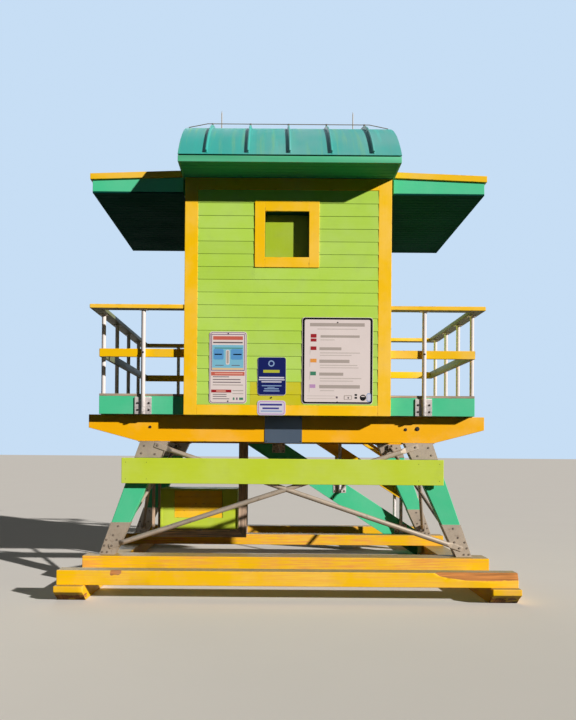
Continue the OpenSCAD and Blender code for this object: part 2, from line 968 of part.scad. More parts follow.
// Mid rail boards on the inner side of the posts
module mid_rails(rear_y, rear_end_x) {
    inner = post_od / 2;
    z0 = walk_z + mid_z - mid_h / 2;
    x1 = post_x - inner;
    y0 = post_front_y + inner;
    y1 = rear_y - inner;
    translate([0, 0, z0])
        linear_extrude(mid_h)
            polygon([
                [hut_w / 2, y0], [x1, y0], [x1, y1], [rear_end_x, y1],
                [rear_end_x, y1 - mid_t], [x1 - mid_t, y1 - mid_t],
                [x1 - mid_t, y0 + mid_t], [hut_w / 2, y0 + mid_t]
            ]);
}

module mid_rails_left() {
    color(yellow) mirror([1, 0, 0]) mid_rails(post_landing_y, -landing_x);
}

module mid_rails_right() {
    color(yellow) mid_rails(post_rear_y, hut_w / 2);
}

// A tube post standing in front of a rim, with its bolting plate and top flange.
// Turned so that the rim's outward direction is -Y.
module post() {
    flange = 100;
    plate_z = deck_z + (rim_h - post_plate) / 2;
    union() {
        translate([0, 0, deck_z]) cylinder(d = post_od, h = cap_z - deck_z, $fn = 32);
        block(
            [-post_plate / 2, post_off - post_plate_t, plate_z],
            [post_plate / 2, post_off, plate_z + post_plate]
        );
        block(
            [-flange / 2, -flange / 2, cap_z - post_plate_t], [flange / 2, flange / 2, cap_z]
        );
    }
}

// Posts of one side: one in front, a row along the side, and those at the back
module post_row(front_x, y_first, y_last, back_posts, rear_y) {
    translate([front_x, post_front_y, 0]) post();
    for (i = [0:side_posts - 1])
        translate([post_x, y_first + i * (y_last - y_first) / (side_posts - 1), 0])
            rotate([0, 0, 90]) post();
    for (x = back_posts)
        translate([x, rear_y, 0]) rotate([0, 0, 180]) post();
}

module posts_left() {
    color(white_paint)
        mirror([1, 0, 0])
            post_row(
                front_post_left, deck_y0 + first_left, landing_y - last_left,
                [landing_post, -landing_x + post_plate / 2], post_landing_y
            );
}

module posts_right() {
    color(white_paint)
        post_row(
            front_post_right, deck_y0 + first_right, deck_y1 - last_right,
            [far_post_right], post_rear_y
        );
}

// STAIR
module stringer_outline() {
    low_x = landing_x + (walk_z - stringer_h) / slope;
    polygon([
        [landing_x, nose_z(landing_x)], [stair_foot_x, nose_z(stair_foot_x)],
        [stair_foot_x, 0], [low_x, 0], [landing_x, nose_z(landing_x) - stringer_h]
    ]);
}

module stringers() {
    color(green)
        for (y = [stair_y, stair_y + stair_w - stringer_t])
            slab_xz(y, stringer_t) stringer_outline();
}

module treads() {
    color(bare_wood)
        for (i = [1:treads_n]) {
            x = landing_x + i * tread_run;
            block(
                [x - tread_d, stair_y + stringer_t, nose_z(x) - tread_t],
                [x, stair_y + stair_w - stringer_t, nose_z(x)]
            );
        }
}

// A stair post is cut off along the slope of the rail above it
module stair_post(x, y, out) {
    plate_top = nose_z(x);
    union() {
        intersection() {
            translate([x, y, plate_top - post_plate])
                cylinder(d = post_od, h = stair_rail_h + post_plate, $fn = 32);
            slab_xz(y - post_od, 2 * post_od)
                polygon([
                    [x - post_od, 0], [x + post_od, 0],
                    [x + post_od, nose_z(x + post_od) + stair_rail_h - cap_t],
                    [x - post_od, nose_z(x - post_od) + stair_rail_h - cap_t]
                ]);
        }
        block(
            [x - post_plate / 2, y + min(out * post_off, out * (post_off - post_plate_t)),
                plate_top - post_plate],
            [x + post_plate / 2, y + max(out * post_off, out * (post_off - post_plate_t)),
                plate_top - slope * post_plate / 2]
        );
    }
}

module stair_posts() {
    color(white_paint)
        for (i = [0:2]) {
            x = landing_x + stair_post_first + i * stair_post_gap;
            stair_post(x, near_post_y, 1);
            stair_post(x, far_post_y, -1);
        }
}

// A board that follows the slope of the stair
module sloping_board(y0, t, low, high) {
    slab_xz(y0, t)
        polygon([
            [rail_start_x, nose_z(rail_start_x) + low], [stair_foot_x, nose_z(stair_foot_x) + low],
            [stair_foot_x, nose_z(stair_foot_x) + high], [rail_start_x, nose_z(rail_start_x) + high]
        ]);
}

module stair_rails() {
    inner = post_od / 2;
    color(yellow)
        for (rail = [[near_post_y, near_post_y + inner], [far_post_y, far_post_y - inner - mid_t]]) {
            sloping_board(
                rail[0] - stair_cap_w / 2, stair_cap_w, stair_rail_h - cap_t, stair_rail_h
            );
            sloping_board(rail[1], mid_t, stair_mid_z, stair_mid_z + stair_mid_h);
        }
}

// LOCKER UNDER THE DECK
// Two hung frames, front and rear, with slats between them for the locker to stand on
module locker_frame() {
    rear_y = locker_y + locker_d;
    rail_top = cradle_z + cradle_rail_h;
    color(bare_wood)
        union() {
            for (y = [cradle_y, rear_y]) {
                block([cradle_x0, y, cradle_z], [cradle_x1, y + cradle_t, rail_top]);
                block([cradle_x0, y, rail_top], [cradle_x0 + cradle_t, y + cradle_t, deck_z]);
                block([cradle_x1 - hanger_w, y, rail_top], [cradle_x1, y + cradle_t, deck_z]);
                block(
                    [cradle_x0, y, deck_z - cradle_rail_h], [cradle_x1, y + cradle_t, deck_z]
                );
            }
            for (x = [locker_x - locker_w + 60, locker_x - locker_w / 2, locker_x - 60])
                block(
                    [x - cradle_rail_h / 2, cradle_y, rail_top],
                    [x + cradle_rail_h / 2, rear_y + cradle_t, rail_top + slat_t]
                );
        }
}

// Closed boarded box, with a hole in its front that the panel fills
module locker() {
    x0 = locker_x - locker_w;
    color(board_lime)
        difference() {
            block([x0, locker_y, locker_z], [locker_x, locker_y + locker_d, locker_z + locker_h]);
            block(
                [x0 + locker_wall, locker_y + locker_wall, locker_z + locker_wall],
                [locker_x - locker_wall, locker_y + locker_d - locker_wall,
                    locker_z + locker_h - locker_wall]
            );
            block(
                [panel_x0, locker_y - 1, panel_z0],
                [panel_x0 + panel_w, locker_y + locker_wall + 1, panel_z0 + panel_h]
            );
        }
}

module locker_panel() {
    color(yellow)
        block(
            [panel_x0, locker_y, panel_z0],
            [panel_x0 + panel_w, locker_y + locker_wall, panel_z0 + panel_h]
        );
}

runner_left();
runner_right();
cross_beams();
legs();
leg_plates();
front_brace();
side_brace_left();
side_brace_right();
name_board();
front_beam();
rear_beam();
number_plate();
joists();
deck_rim();
deck_left();
deck_right();
hut_floor();
landing_boards();
front_wall();
right_wall();
left_wall_front();
left_wall_rear();
left_wall_over_door();
rear_wall();
corner_boards();
band_boards();
window_frame();
window_shutter();
door_casing();
lookout_casing();
soffit();
eave_fascia();
roof_ribs();
gables();
roof_vault();
roof_seams();
roof_rods();
wing_left();
wing_right();
wing_cap_left();
wing_cap_right();
rail_cap_left();
rail_cap_right();
mid_rails_left();
mid_rails_right();
posts_left();
posts_right();
stringers();
treads();
stair_posts();
stair_rails();
locker_frame();
locker();
locker_panel();
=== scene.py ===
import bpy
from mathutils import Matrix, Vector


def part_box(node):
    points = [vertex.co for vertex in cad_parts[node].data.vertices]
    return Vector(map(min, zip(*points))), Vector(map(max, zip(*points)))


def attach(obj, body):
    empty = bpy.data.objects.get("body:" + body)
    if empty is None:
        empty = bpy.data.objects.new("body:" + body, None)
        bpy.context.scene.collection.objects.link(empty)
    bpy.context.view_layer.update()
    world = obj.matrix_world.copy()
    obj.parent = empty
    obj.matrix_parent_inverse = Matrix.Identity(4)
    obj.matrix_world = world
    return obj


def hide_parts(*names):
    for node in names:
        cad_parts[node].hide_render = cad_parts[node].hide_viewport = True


bl_info = {
    "name": "Beach Lifeguard Tower",
    "version": (1, 0, 0),
    "blender": (4, 5, 0),
    "location": "View3D > Sidebar > Tower",
    "description": "Dresses the frame of a beach lifeguard tower with boards, sheets, fittings and paint",
    "category": "Object",
}

import math
import random

import bmesh
import bpy
from bpy.props import FloatProperty, FloatVectorProperty, PointerProperty
from mathutils import Matrix, Vector

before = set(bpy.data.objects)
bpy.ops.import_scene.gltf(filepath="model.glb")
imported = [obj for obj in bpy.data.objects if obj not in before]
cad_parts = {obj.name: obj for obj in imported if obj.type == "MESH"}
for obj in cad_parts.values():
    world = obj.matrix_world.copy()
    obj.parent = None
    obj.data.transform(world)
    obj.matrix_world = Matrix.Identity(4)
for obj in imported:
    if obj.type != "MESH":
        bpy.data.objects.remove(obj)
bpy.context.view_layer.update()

X = Vector((1, 0, 0))
Y = Vector((0, 1, 0))
Z = Vector((0, 0, 1))

HUT_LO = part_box("corner_boards")[0]
HUT_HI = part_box("corner_boards")[1]
WALL_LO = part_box("front_wall")[0]
WALL_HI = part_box("rear_wall")[1]
DECK_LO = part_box("deck_rim")[0]
DECK_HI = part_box("deck_rim")[1]
WALK_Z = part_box("hut_floor")[1].z


def colour(name, about, value):
    """A colour that a user can change, as it looks on screen."""
    return FloatVectorProperty(
        name=name, description=about, default=value, size=3, min=0, max=1, subtype="COLOR_GAMMA"
    )


def number(name, about, value, **limits):
    """A number that a user can change."""
    return FloatProperty(name=name, description=about, default=value, **limits)


def length(name, about, value, low=0.0, high=5.0):
    """A size in metres that a user can change."""
    return number(name, about, value, min=low, max=high, unit="LENGTH", precision=4)


def angle(name, about, degrees):
    """An angle that a user can change."""
    return number(name, about, math.radians(degrees), subtype="ANGLE", unit="ROTATION")


class TowerSizes(bpy.types.PropertyGroup):
    """Sizes of the boards and fittings that the frame doesn't hold."""

    lap: length("Siding exposure", "Height that shows of each siding board", 0.1506, 0.05, 0.3)
    lap_top: length("First lap", "Height of the topmost lap line over the ground", 4.516, 4.0, 4.7)
    lap_butt: length("Siding butt", "Thickness of a siding board's lower edge", 0.021, 0.005, 0.021)
    deck_board: length("Deck board", "Width of a deck board", 0.14, 0.08, 0.25)
    deck_gap: length("Deck gap", "Gap between two deck boards", 0.006, 0.001, 0.02)
    soffit_board: length("Soffit board", "Width of a soffit board", 0.088, 0.05, 0.2)
    soffit_groove: length("Soffit groove", "Width of the groove between soffit boards", 0.006, 0.002, 0.02)
    rounding: length("Rounding", "Rounding of a sawn timber's edges", 0.004, 0.001, 0.01)
    bolt: length("Bolt head", "Width of a bolt's head", 0.024, 0.01, 0.05)
    seam_fold: length("Seam fold", "Thickness of a standing seam's fold", 0.014, 0.005, 0.03)


class TowerColours(bpy.types.PropertyGroup):
    """Colours of the tower's paints, timbers and metals."""

    yellow: colour("Yellow", "Paint of the skid, beams, trim and rails", (0.99, 0.77, 0.18))
    beam: colour("Beam yellow", "Paint of the deck beams", (0.98, 0.70, 0.11))
    # Grey-olive mildew on the rails' inner faces; on their undersides the same colour is painted shade
    mildew: colour("Mildew", "Paint greyed by mildew, on the rails' inner faces", (0.47, 0.48, 0.34))
    lime: colour("Lime", "Paint of the lap siding", (0.715, 0.84, 0.34))
    board: colour("Board", "Paint of the name board and the locker", (0.76, 0.82, 0.27))
    green: colour("Sea green", "Paint of the rim, legs and wing fascias", (0.33, 0.78, 0.57))
    fascia: colour("Fascia", "Faded paint of the eave's fascia", (0.35, 0.71, 0.53))
    soffit: colour("Soffit", "Paint of the eave's soffit boards", (0.235, 0.66, 0.52))
    shutter: colour("Shutter", "Paint of the window's shutter", (0.665, 0.745, 0.23))
    # A dark teal, made darker still as painted shade under the wing roofs and in the window's recess
    under: colour("Wing soffit", "Dark paint under the wing roofs", (0.03, 0.26, 0.22))
    olive: colour("Olive", "Paint of the boards that were replaced", (0.79, 0.75, 0.17))
    roof: colour("Roof", "Coat of the seamed roof sheets", (0.285, 0.65, 0.60))
    bare: colour("Bare timber", "Timber that was never painted", (0.72, 0.62, 0.52))
    worn: colour("Worn timber", "Timber where the paint is gone", (0.62, 0.42, 0.24))
    fresh: colour("New timber", "Timber of the locker's cradle", (0.90, 0.75, 0.62))
    raw: colour("Split timber", "Timber where a skid beam's edge has split off", (0.88, 0.56, 0.28))
    dust: colour("Dust", "Dust that lies on the skid's top", (0.60, 0.53, 0.36))
    steel: colour("Steel", "Dull galvanised steel", (0.68, 0.61, 0.53))
    post: colour("Post", "Paint of the rail posts", (0.93, 0.88, 0.85))
    stud: colour("Stud", "Weathered steel of the plates' bolts", (0.50, 0.44, 0.38))
    slate: colour("Slate", "Paint of the bare plate on the front beam", (0.26, 0.31, 0.37))
    bolt: colour("Bolt", "Dark steel of the bolt heads", (0.20, 0.17, 0.15))


class TowerStage(bpy.types.PropertyGroup):
    """The camera, the light and the floor."""

    lens: number("Lens", "Focal length in millimetres", 35.75, unit="CAMERA")
    camera: FloatVectorProperty(
        name="Camera", description="Place of the camera", default=(-0.176, -9.88, 1.608),
        subtype="TRANSLATION", unit="LENGTH",
    )
    roll: angle("Roll", "Turn of the camera about its view", 0.44)
    pitch: angle("Pitch", "Upward tilt of the camera", 0.41)
    aside: number("Side shift", "Sideways shift of the picture", 0.0225, min=-0.5, max=0.5)
    rise: number("Shift", "Upward shift of the picture", 0.1174, min=0, max=0.5)
    key: number("Key", "Strength of the key light", 5.0, min=0)
    fill: number("Fill", "Strength of the light all round", 0.022, min=0)
    sky: colour("Sky", "Colour of the light all round", (0.80, 0.93, 1.0))
    floor: colour("Floor", "Colour of the floor", (0.93, 0.90, 0.86))
    bounce: colour("Bounce", "Colour that the floor throws back", (0.15, 0.20, 0.21))
    back: colour("Background", "Colour behind the tower", (0.78, 0.87, 0.96))


class Nodes:
    """A node tree, built up from sockets and constants."""

    def __init__(self, tree):
        self.tree = tree

    def node(self, kind, **settings):
        made = self.tree.nodes.new(kind)
        for name, value in settings.items():
            setattr(made, name, value)
        return made

    def put(self, socket, value):
        """Links a socket to another, or gives it a constant."""
        if isinstance(value, bpy.types.NodeSocket):
            self.tree.links.new(value, socket)
        else:
            socket.default_value = value

    def made(self, kind, **inputs):
        """The first output of a new node whose named inputs are set."""
        node = self.node(kind)
        for name, value in inputs.items():
            self.put(node.inputs[name], value)
        return node.outputs[0]

    def math(self, operation, a, b=0.0, c=0.0, clamp=False):
        made = self.node("ShaderNodeMath", operation=operation, use_clamp=clamp)
        for socket, value in zip(made.inputs, (a, b, c)):
            self.put(socket, value)
        return made.outputs[0]

    def times(self, a, b, clamp=False):
        return self.math("MULTIPLY", a, b, clamp=clamp)

    def line(self, value, slope, start):
        return self.math("MULTIPLY_ADD", value, slope, start)

    def most(self, a, b):
        return self.math("MAXIMUM", a, b)

    def seen(self):
        """One on the rays that show the plain background: straight, in gloss or through glass."""
        rays = self.node("ShaderNodeLightPath").outputs
        straight = self.most(rays["Is Camera Ray"], rays["Is Glossy Ray"])
        return self.most(straight, rays["Is Transmission Ray"])


class Finish(Nodes):
    """A material, built up around one shader."""

    def __init__(self, name):
        self.material = bpy.data.materials.new(name)
        self.material.use_nodes = True
        super().__init__(self.material.node_tree)
        self.shader = self.tree.nodes["Principled BSDF"]
        self.place = self.node("ShaderNodeTexCoord").outputs["Object"]

    def set(self, **values):
        """Sets the shader's own sockets, whose names are written with underscores."""
        for name, value in values.items():
            self.put(self.shader.inputs[name.replace("_", " ")], value)

    def stretch(self, vector, scale):
        return self.made("ShaderNodeMapping", Vector=vector, Scale=scale)

    def noise(self, vector, scale, detail=4.0, roughness=0.55):
        return self.made(
            "ShaderNodeTexNoise", Vector=vector, Scale=scale, Detail=detail, Roughness=roughness
        )

    def steps(self, value, low, high, to_low=0.0, to_high=1.0):
        """A smooth step between two levels of a value."""
        made = self.node("ShaderNodeMapRange", interpolation_type="SMOOTHSTEP")
        for socket, given in zip(made.inputs, (value, low, high, to_low, to_high)):
            self.put(socket, given)
        return made.outputs[0]

    def mix(self, share, a, b):
        made = self.node("ShaderNodeMix", data_type="RGBA")
        self.put(made.inputs[0], share)
        self.put(made.inputs[6], a)
        self.put(made.inputs[7], b)
        return made.outputs[2]

    def shade(self, base, value, saturation=1.0):
        """A colour made lighter or darker, and stronger or paler."""
        return self.made("ShaderNodeHueSaturation", Color=base, Value=value, Saturation=saturation)

    def attribute(self, name):
        return self.node("ShaderNodeAttribute", attribute_name=name)

    def parts(self, vector):
        made = self.node("ShaderNodeSeparateXYZ")
        self.put(made.inputs[0], vector)
        return made.outputs

    def bump(self, height, strength, distance):
        return self.made("ShaderNodeBump", Strength=strength, Distance=distance, Height=height)

    def way(self):
        """The parts of the true normal."""
        return self.parts(self.node("ShaderNodeNewGeometry").outputs["True Normal"])

    def edge_distance(self):
        """Metres from a point on a board's face to that face's nearest edge."""
        rim = self.parts(self.node("ShaderNodeUVMap", uv_map="rim").outputs[0])
        half = self.parts(self.node("ShaderNodeUVMap", uv_map="half").outputs[0])
        along = self.math("SUBTRACT", half[0], self.math("ABSOLUTE", rim[0]))
        across = self.math("SUBTRACT", half[1], self.math("ABSOLUTE", rim[1]))
        return self.math("MINIMUM", along, across)


def linear(value):
    """An on-screen colour as the shader's own, with full alpha."""
    low = 0.04045
    spread = [c / 12.92 if c <= low else ((c + 0.055) / 1.055) ** 2.4 for c in value]
    return (*spread, 1.0)


def tint(value, factor):
    """A lighter or darker on-screen colour."""
    return tuple(min(1.0, c * factor) for c in value)


def wood_maps(f):
    """The fibres that run along each board, and the board's own tone."""
    grain = f.node("ShaderNodeUVMap", uv_map="grain").outputs[0]
    fibres = f.noise(f.stretch(grain, (2.2, 60.0, 1.0)), 1.0, 7.0, 0.62)
    return fibres, f.attribute("tone").outputs["Fac"]


def timber_colour(f, fibres, patches, dark, light):
    """Bare fibres, greyed in patches."""
    streaks = f.steps(fibres, 0.30, 0.70)
    wood = f.mix(streaks, linear(dark), linear(light))
    grey = sum(light) / 3
    return f.mix(f.steps(patches, 0.50, 0.75, 0.0, 0.45), wood, linear((grey, grey, grey * 0.96)))


def paint_on_wood(
    name, paint, wood, wear=0.006, chips=0.70, fade=0.14, depth=0.55, chalk=0.0, dust=None,
    mildew=None, rough=0.5, gloss=0.2,
):
    """Weathered paint on a sawn board: faded patches, chipped spots and worn edges."""
    f = Finish(name)
    fibres, tone = wood_maps(f)
    patches = f.noise(f.place, 1.6, 5.0, 0.6)
    flakes = f.noise(f.place, 15.0, 10.0, 0.6)
    level = f.line(patches, fade, 1.0 - fade / 2)
    level = f.line(tone, 0.10, f.math("SUBTRACT", level, 0.05))
    level = f.line(fibres, 0.10, f.math("SUBTRACT", level, 0.05))
    coat = f.shade(linear(paint), level, f.steps(patches, 0.30, 0.75, 1.05, 0.95))
    reach = f.steps(flakes, 0.44, 0.72, 0.0, wear)
    edges = f.times(f.math("SUBTRACT", reach, f.edge_distance()), 900.0, clamp=True)
    chipped = f.steps(flakes, chips, chips + 0.02)
    ragged = f.line(flakes, 0.5, f.attribute("worn").outputs["Fac"])
    zones = f.steps(ragged, 0.74, 0.80)
    bare = f.most(f.most(edges, chipped), zones)
    if chalk:
        faded = f.times(f.steps(fibres, 0.40, 0.62), f.steps(patches, 0.35, 0.60, 0.35, 1.0))
        faded = f.times(faded, f.steps(f.parts(f.place)[1], -2.1, -1.4, 0.45, 1.0))
        coat = f.mix(f.times(faded, chalk), coat, linear(tint(wood, 1.06)))
    if dust:
        lying = f.times(f.steps(f.way()[2], 0.90, 0.98), f.steps(flakes, 0.25, 0.60, 1.0, 0.75))
        coat = f.mix(lying, coat, f.shade(linear(dust), level))
    # Mildew greys the inner faces, and the same colour darkens the downward faces as painted shade
    if mildew:
        way = f.way()
        inward = f.times(way[0], f.math("SIGN", f.parts(f.place)[0]))
        inner_and_under = f.steps(f.math("MINIMUM", inward, way[2]), -0.9, -0.6, 1.0, 0.0)
        coat = f.mix(inner_and_under, coat, f.shade(linear(mildew), level))
    timber = timber_colour(f, fibres, patches, tint(wood, depth), wood)
    dirty = f.shade(coat, 0.55, 0.75)
    grime = f.times(f.steps(f.noise(f.place, 4.0, 8.0, 0.65), 0.52, 0.78), 0.18)
    f.set(
        Specular_IOR_Level=gloss,
        Base_Color=f.mix(bare, f.mix(grime, coat, dirty), timber),
        Roughness=f.line(bare, 0.30, f.steps(patches, 0.3, 0.8, rough - 0.06, rough + 0.10)),
        Normal=f.bump(f.math("SUBTRACT", f.times(fibres, 0.45), f.times(bare, 0.6)), 0.35, 0.002),
    )
    return f.material


def bare_timber(name, wood, rough=0.78):
    """Weathered sawn timber with open grain and fine cracks."""
    f = Finish(name)
    fibres, tone = wood_maps(f)
    patches = f.noise(f.place, 2.2, 5.0, 0.6)
    wood_tone = timber_colour(f, fibres, patches, tint(wood, 0.62), tint(wood, 1.08))
    level = f.line(tone, 0.30, 0.84)
    cracks = f.steps(fibres, 0.26, 0.34)
    f.set(
        Base_Color=f.mix(cracks, linear(tint(wood, 0.30)), f.shade(wood_tone, level)),
        Roughness=f.steps(patches, 0.3, 0.8, rough - 0.08, rough + 0.08),
        Normal=f.bump(f.line(cracks, 0.4, fibres), 0.5, 0.003),
    )
    return f.material


def roof_coat(name, paint):
    """Faded paint on seamed metal, streaked down the fall, with dirt and a little rust."""
    f = Finish(name)
    streaks = f.noise(f.stretch(f.place, (11.0, 0.55, 0.55)), 1.0, 6.0, 0.6)
    clouds = f.noise(f.place, 0.9, 4.0, 0.55)
    spots = f.noise(f.place, 30.0, 8.0, 0.65)
    level = f.line(streaks, 0.34, f.line(clouds, 0.24, 0.71))
    coat = f.shade(linear(paint), level, f.steps(clouds, 0.35, 0.65, 1.08, 0.82))
    chalk = f.times(f.steps(streaks, 0.55, 0.80), 0.35)
    pale = f.mix(chalk, coat, linear(tint(paint, 1.35)))
    algae = f.noise(f.stretch(f.place, (16.0, 0.8, 0.8)), 1.0, 5.0, 0.6)
    pale = f.mix(f.steps(algae, 0.50, 0.70, 0.0, 0.40), pale, linear((0.52, 0.72, 0.42)))
    rust = f.times(f.steps(spots, 0.68, 0.72), f.steps(clouds, 0.50, 0.62))
    f.set(
        Base_Color=f.mix(rust, pale, linear((0.42, 0.27, 0.16))),
        Specular_IOR_Level=0.25,
        Roughness=f.steps(streaks, 0.3, 0.7, 0.42, 0.58),
        Normal=f.bump(f.noise(f.stretch(f.place, (3.0, 1.2, 1.2)), 1.0, 2.0, 0.5), 0.25, 0.02),
    )
    return f.material


def dull_steel(name, base, metallic=0.35, rust=0.5):
    """Galvanised steel, dulled by salt, with brown stains."""
    f = Finish(name)
    clouds = f.noise(f.place, 5.0, 6.0, 0.6)
    spangle = f.noise(f.place, 60.0, 3.0, 0.5)
    level = f.line(clouds, 0.5, f.line(spangle, 0.24, 0.63))
    zinc = f.shade(linear(base), level)
    stains = f.times(f.steps(f.noise(f.place, 13.0, 9.0, 0.68), 0.54, 0.72), rust)
    f.set(
        Base_Color=f.mix(stains, zinc, linear((0.38, 0.26, 0.17))),
        Metallic=metallic,
        Roughness=f.steps(clouds, 0.3, 0.7, 0.50, 0.72),
        Normal=f.bump(f.math("ADD", clouds, f.times(stains, 0.5)), 0.25, 0.002),
    )
    return f.material


def painted_metal(name, paint, dirt_low=0.0, dirt_high=0.0, rough=0.38, dim=1.0):
    """Smooth paint on metal, with stains that grow below a height where one is given."""
    f = Finish(name)
    paint = tint(paint, dim)
    clouds = f.noise(f.place, 4.0, 6.0, 0.6)
    specks = f.noise(f.place, 45.0, 8.0, 0.7)
    coat = f.shade(linear(paint), f.line(clouds, 0.12, 0.94))
    stains = f.times(f.steps(specks, 0.60, 0.74), 0.5)
    if dirt_high > dirt_low:
        low = f.steps(f.parts(f.place)[2], dirt_low, dirt_high, 0.75, 0.0)
        stains = f.most(stains, f.times(low, f.steps(specks, 0.35, 0.62)))
    f.set(
        Base_Color=f.mix(stains, coat, linear(tint(paint, 0.62))),
        Metallic=0.0,
        Roughness=f.steps(clouds, 0.3, 0.7, rough - 0.06, rough + 0.12),
        Normal=f.bump(specks, 0.08, 0.001),
    )
    return f.material


def printed_sheet(name):
    """Print on sign sheet: the colour of each patch comes with the mesh, a little sun-faded."""
    f = Finish(name)
    clouds = f.noise(f.place, 3.0, 5.0, 0.6)
    ink = f.attribute("print").outputs["Color"]
    f.set(
        Base_Color=f.shade(ink, f.line(clouds, 0.12, 0.94), 0.96),
        Roughness=f.steps(clouds, 0.3, 0.7, 0.50, 0.62),
        Specular_IOR_Level=0.12,
        Normal=f.bump(f.noise(f.place, 80.0, 2.0, 0.5), 0.04, 0.001),
    )
    return f.material


def box(bm, lo, hi):
    """A plain block between two corners."""
    lo, hi = Vector(lo), Vector(hi)
    size = Matrix.Diagonal((*(hi - lo), 1.0))
    bmesh.ops.create_cube(bm, size=1.0, matrix=Matrix.Translation((lo + hi) / 2) @ size)


def box_between(bm, one, other):
    """A plain block between two corners, whichever is the lower one."""
    box(bm, [min(pair) for pair in zip(one, other)], [max(pair) for pair in zip(one, other)])


def prism(bm, ring, push):
    """An outline of points, given its thickness by a push."""
    face = bm.faces.new([bm.verts.new(point) for point in ring])
    grown = bmesh.ops.extrude_face_region(bm, geom=[face])["geom"]
    moved = [item for item in grown if isinstance(item, bmesh.types.BMVert)]
    bmesh.ops.translate(bm, verts=moved, vec=push)


def turn_to(way):
    """A rotation that takes +Z to a direction."""
    return Vector(way).to_track_quat("Z", "Y").to_matrix().to_4x4()


def rod(bm, start, end, diameter, sides=24, tip=None):
    """A round bar between two points, tapered where a tip is given."""
    start, end = Vector(start), Vector(end)
    way = end - start
    bmesh.ops.create_cone(
        bm, cap_ends=True, segments=sides, radius1=diameter / 2,
        radius2=(diameter if tip is None else tip) / 2, depth=way.length,
        matrix=Matrix.Translation((start + end) / 2) @ turn_to(way),
    )


def loft(bm, rings, sides=24):
    """A closed skin through rings, each a middle, a side way, a front way, two half widths
    and a roundness, which is 1 on an ellipse and less where it is squarer."""
    loops = []
    for middle, side, front, half_side, half_front, roundness in rings:
        made = bmesh.ops.create_circle(bm, cap_ends=False, radius=1.0, segments=sides)["verts"]
        for vert in made:
            across, out = (math.copysign(abs(c) ** roundness, c) for c in vert.co[:2])
            vert.co = middle + side * (half_side * across) + front * (half_front * out)
        loops.append(list({edge for vert in made for edge in vert.link_edges}))
    for first, second in zip(loops, loops[1:]):
        bmesh.ops.bridge_loops(bm, edges=first + second)
    bmesh.ops.holes_fill(bm, edges=loops[0] + loops[-1], sides=sides)


def bolt(bm, place, way, width, turn=0.0):
    """A washer and a hexagon head on a face."""
    place, way = Vector(place), Vector(way)
    rod(bm, place, place + way * width * 0.10, width * 1.5, 16)
    top = place + way * width * 0.45
    spin = Matrix.Rotation(turn, 4, "Z")
    bmesh.ops.create_cone(
        bm, cap_ends=True, segments=6, radius1=width / 2, radius2=width * 0.46,
        depth=width * 0.4,
        matrix=Matrix.Translation((place + way * width * 0.05 + top) / 2) @ turn_to(way) @ spin,
    )


def bolts_at(bm, xs, y, zs, way, width):
    """Bolts wherever a place along X and a height meet, on an upright face."""
    for x in xs:
        for z in zs:
            bolt(bm, (x, y, z), way, width)


def parts_of(bm):
    """The separate solids of a mesh, each as a list of faces."""
    seen = set()
    for first in bm.faces:
        if first in seen:
            continue
        seen.add(first)
        part = [first]
        for face in part:
            for edge in face.edges:
                fresh = [near for near in edge.link_faces if near not in seen]
                seen.update(fresh)
                part.extend(fresh)
        yield part


def longest_way(edges):
    """The direction of the longest edge, which the grain follows."""
    ends = max(edges, key=lambda edge: edge.calc_length()).verts
    return (ends[1].co - ends[0].co).normalized()


def lay_maps(bm, seed):
    """Gives each solid its grain direction, its tone and the maps that find a face's edges."""
    draw = random.Random(seed)
    grain, rim, half = (bm.loops.layers.uv.new(name) for name in ("grain", "rim", "half"))
    tone = bm.verts.layers.float.new("tone")
    for part in parts_of(bm):
        along = longest_way([edge for face in part for edge in face.edges])
        shift = Vector((draw.uniform(0, 30), draw.uniform(0, 30)))
        shade = draw.random()
        for face in part:
            flat = along - face.normal * along.dot(face.normal)
            u_way = flat.normalized() if flat.length > 0.3 else longest_way(face.edges)
            v_way = face.normal.cross(u_way).normalized()
            spots = [Vector((l.vert.co.dot(u_way), l.vert.co.dot(v_way))) for l in face.loops]
            low = Vector(min(s[i] for s in spots) for i in (0, 1))
            high = Vector(max(s[i] for s in spots) for i in (0, 1))
            for loop, spot in zip(face.loops, spots):
                loop[grain].uv = spot + shift
                loop[rim].uv = spot - (low + high) / 2
                loop[half].uv = (high - low) / 2
                loop.vert[tone] = shade


SHARP = math.radians(24)
SMOOTH = math.radians(20)


def make_piece(bm, name, coat, rounding=0.0, replaces=(), shape=None, segments=2):
    """Rounds a mesh's sharp edges, lays its maps and makes it a piece of the tower."""
    bmesh.ops.recalc_face_normals(bm, faces=bm.faces)
    if rounding:
        sharp = [e for e in bm.edges if e.is_manifold and e.calc_face_angle() > SHARP]
        bmesh.ops.bevel(
            bm, geom=sharp, offset=rounding, segments=segments, profile=0.5, affect="EDGES",
            clamp_overlap=False, material=-1,
        )
    lay_maps(bm, name)
    if shape:
        shape(bm)
    for face in bm.faces:
        face.smooth = True
    mesh = bpy.data.meshes.new(name)
    bm.to_mesh(mesh)
    bm.free()
    mesh.set_sharp_from_angle(angle=SMOOTH)
    mesh.materials.append(finish(coat))
    piece = bpy.data.objects.new(name, mesh)
    bpy.context.scene.collection.objects.link(piece)
    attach(piece, "root")
    if replaces:
        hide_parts(*replaces)


def frame_mesh(node):
    """A merged copy of a frame node's mesh, with its flat faces whole."""
    bm = bmesh.new()
    bm.from_mesh(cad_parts[node].data)
    bmesh.ops.remove_doubles(bm, verts=bm.verts, dist=0.00005)
    bmesh.ops.dissolve_limit(bm, angle_limit=math.radians(0.5), verts=bm.verts, edges=bm.edges)
    return bm


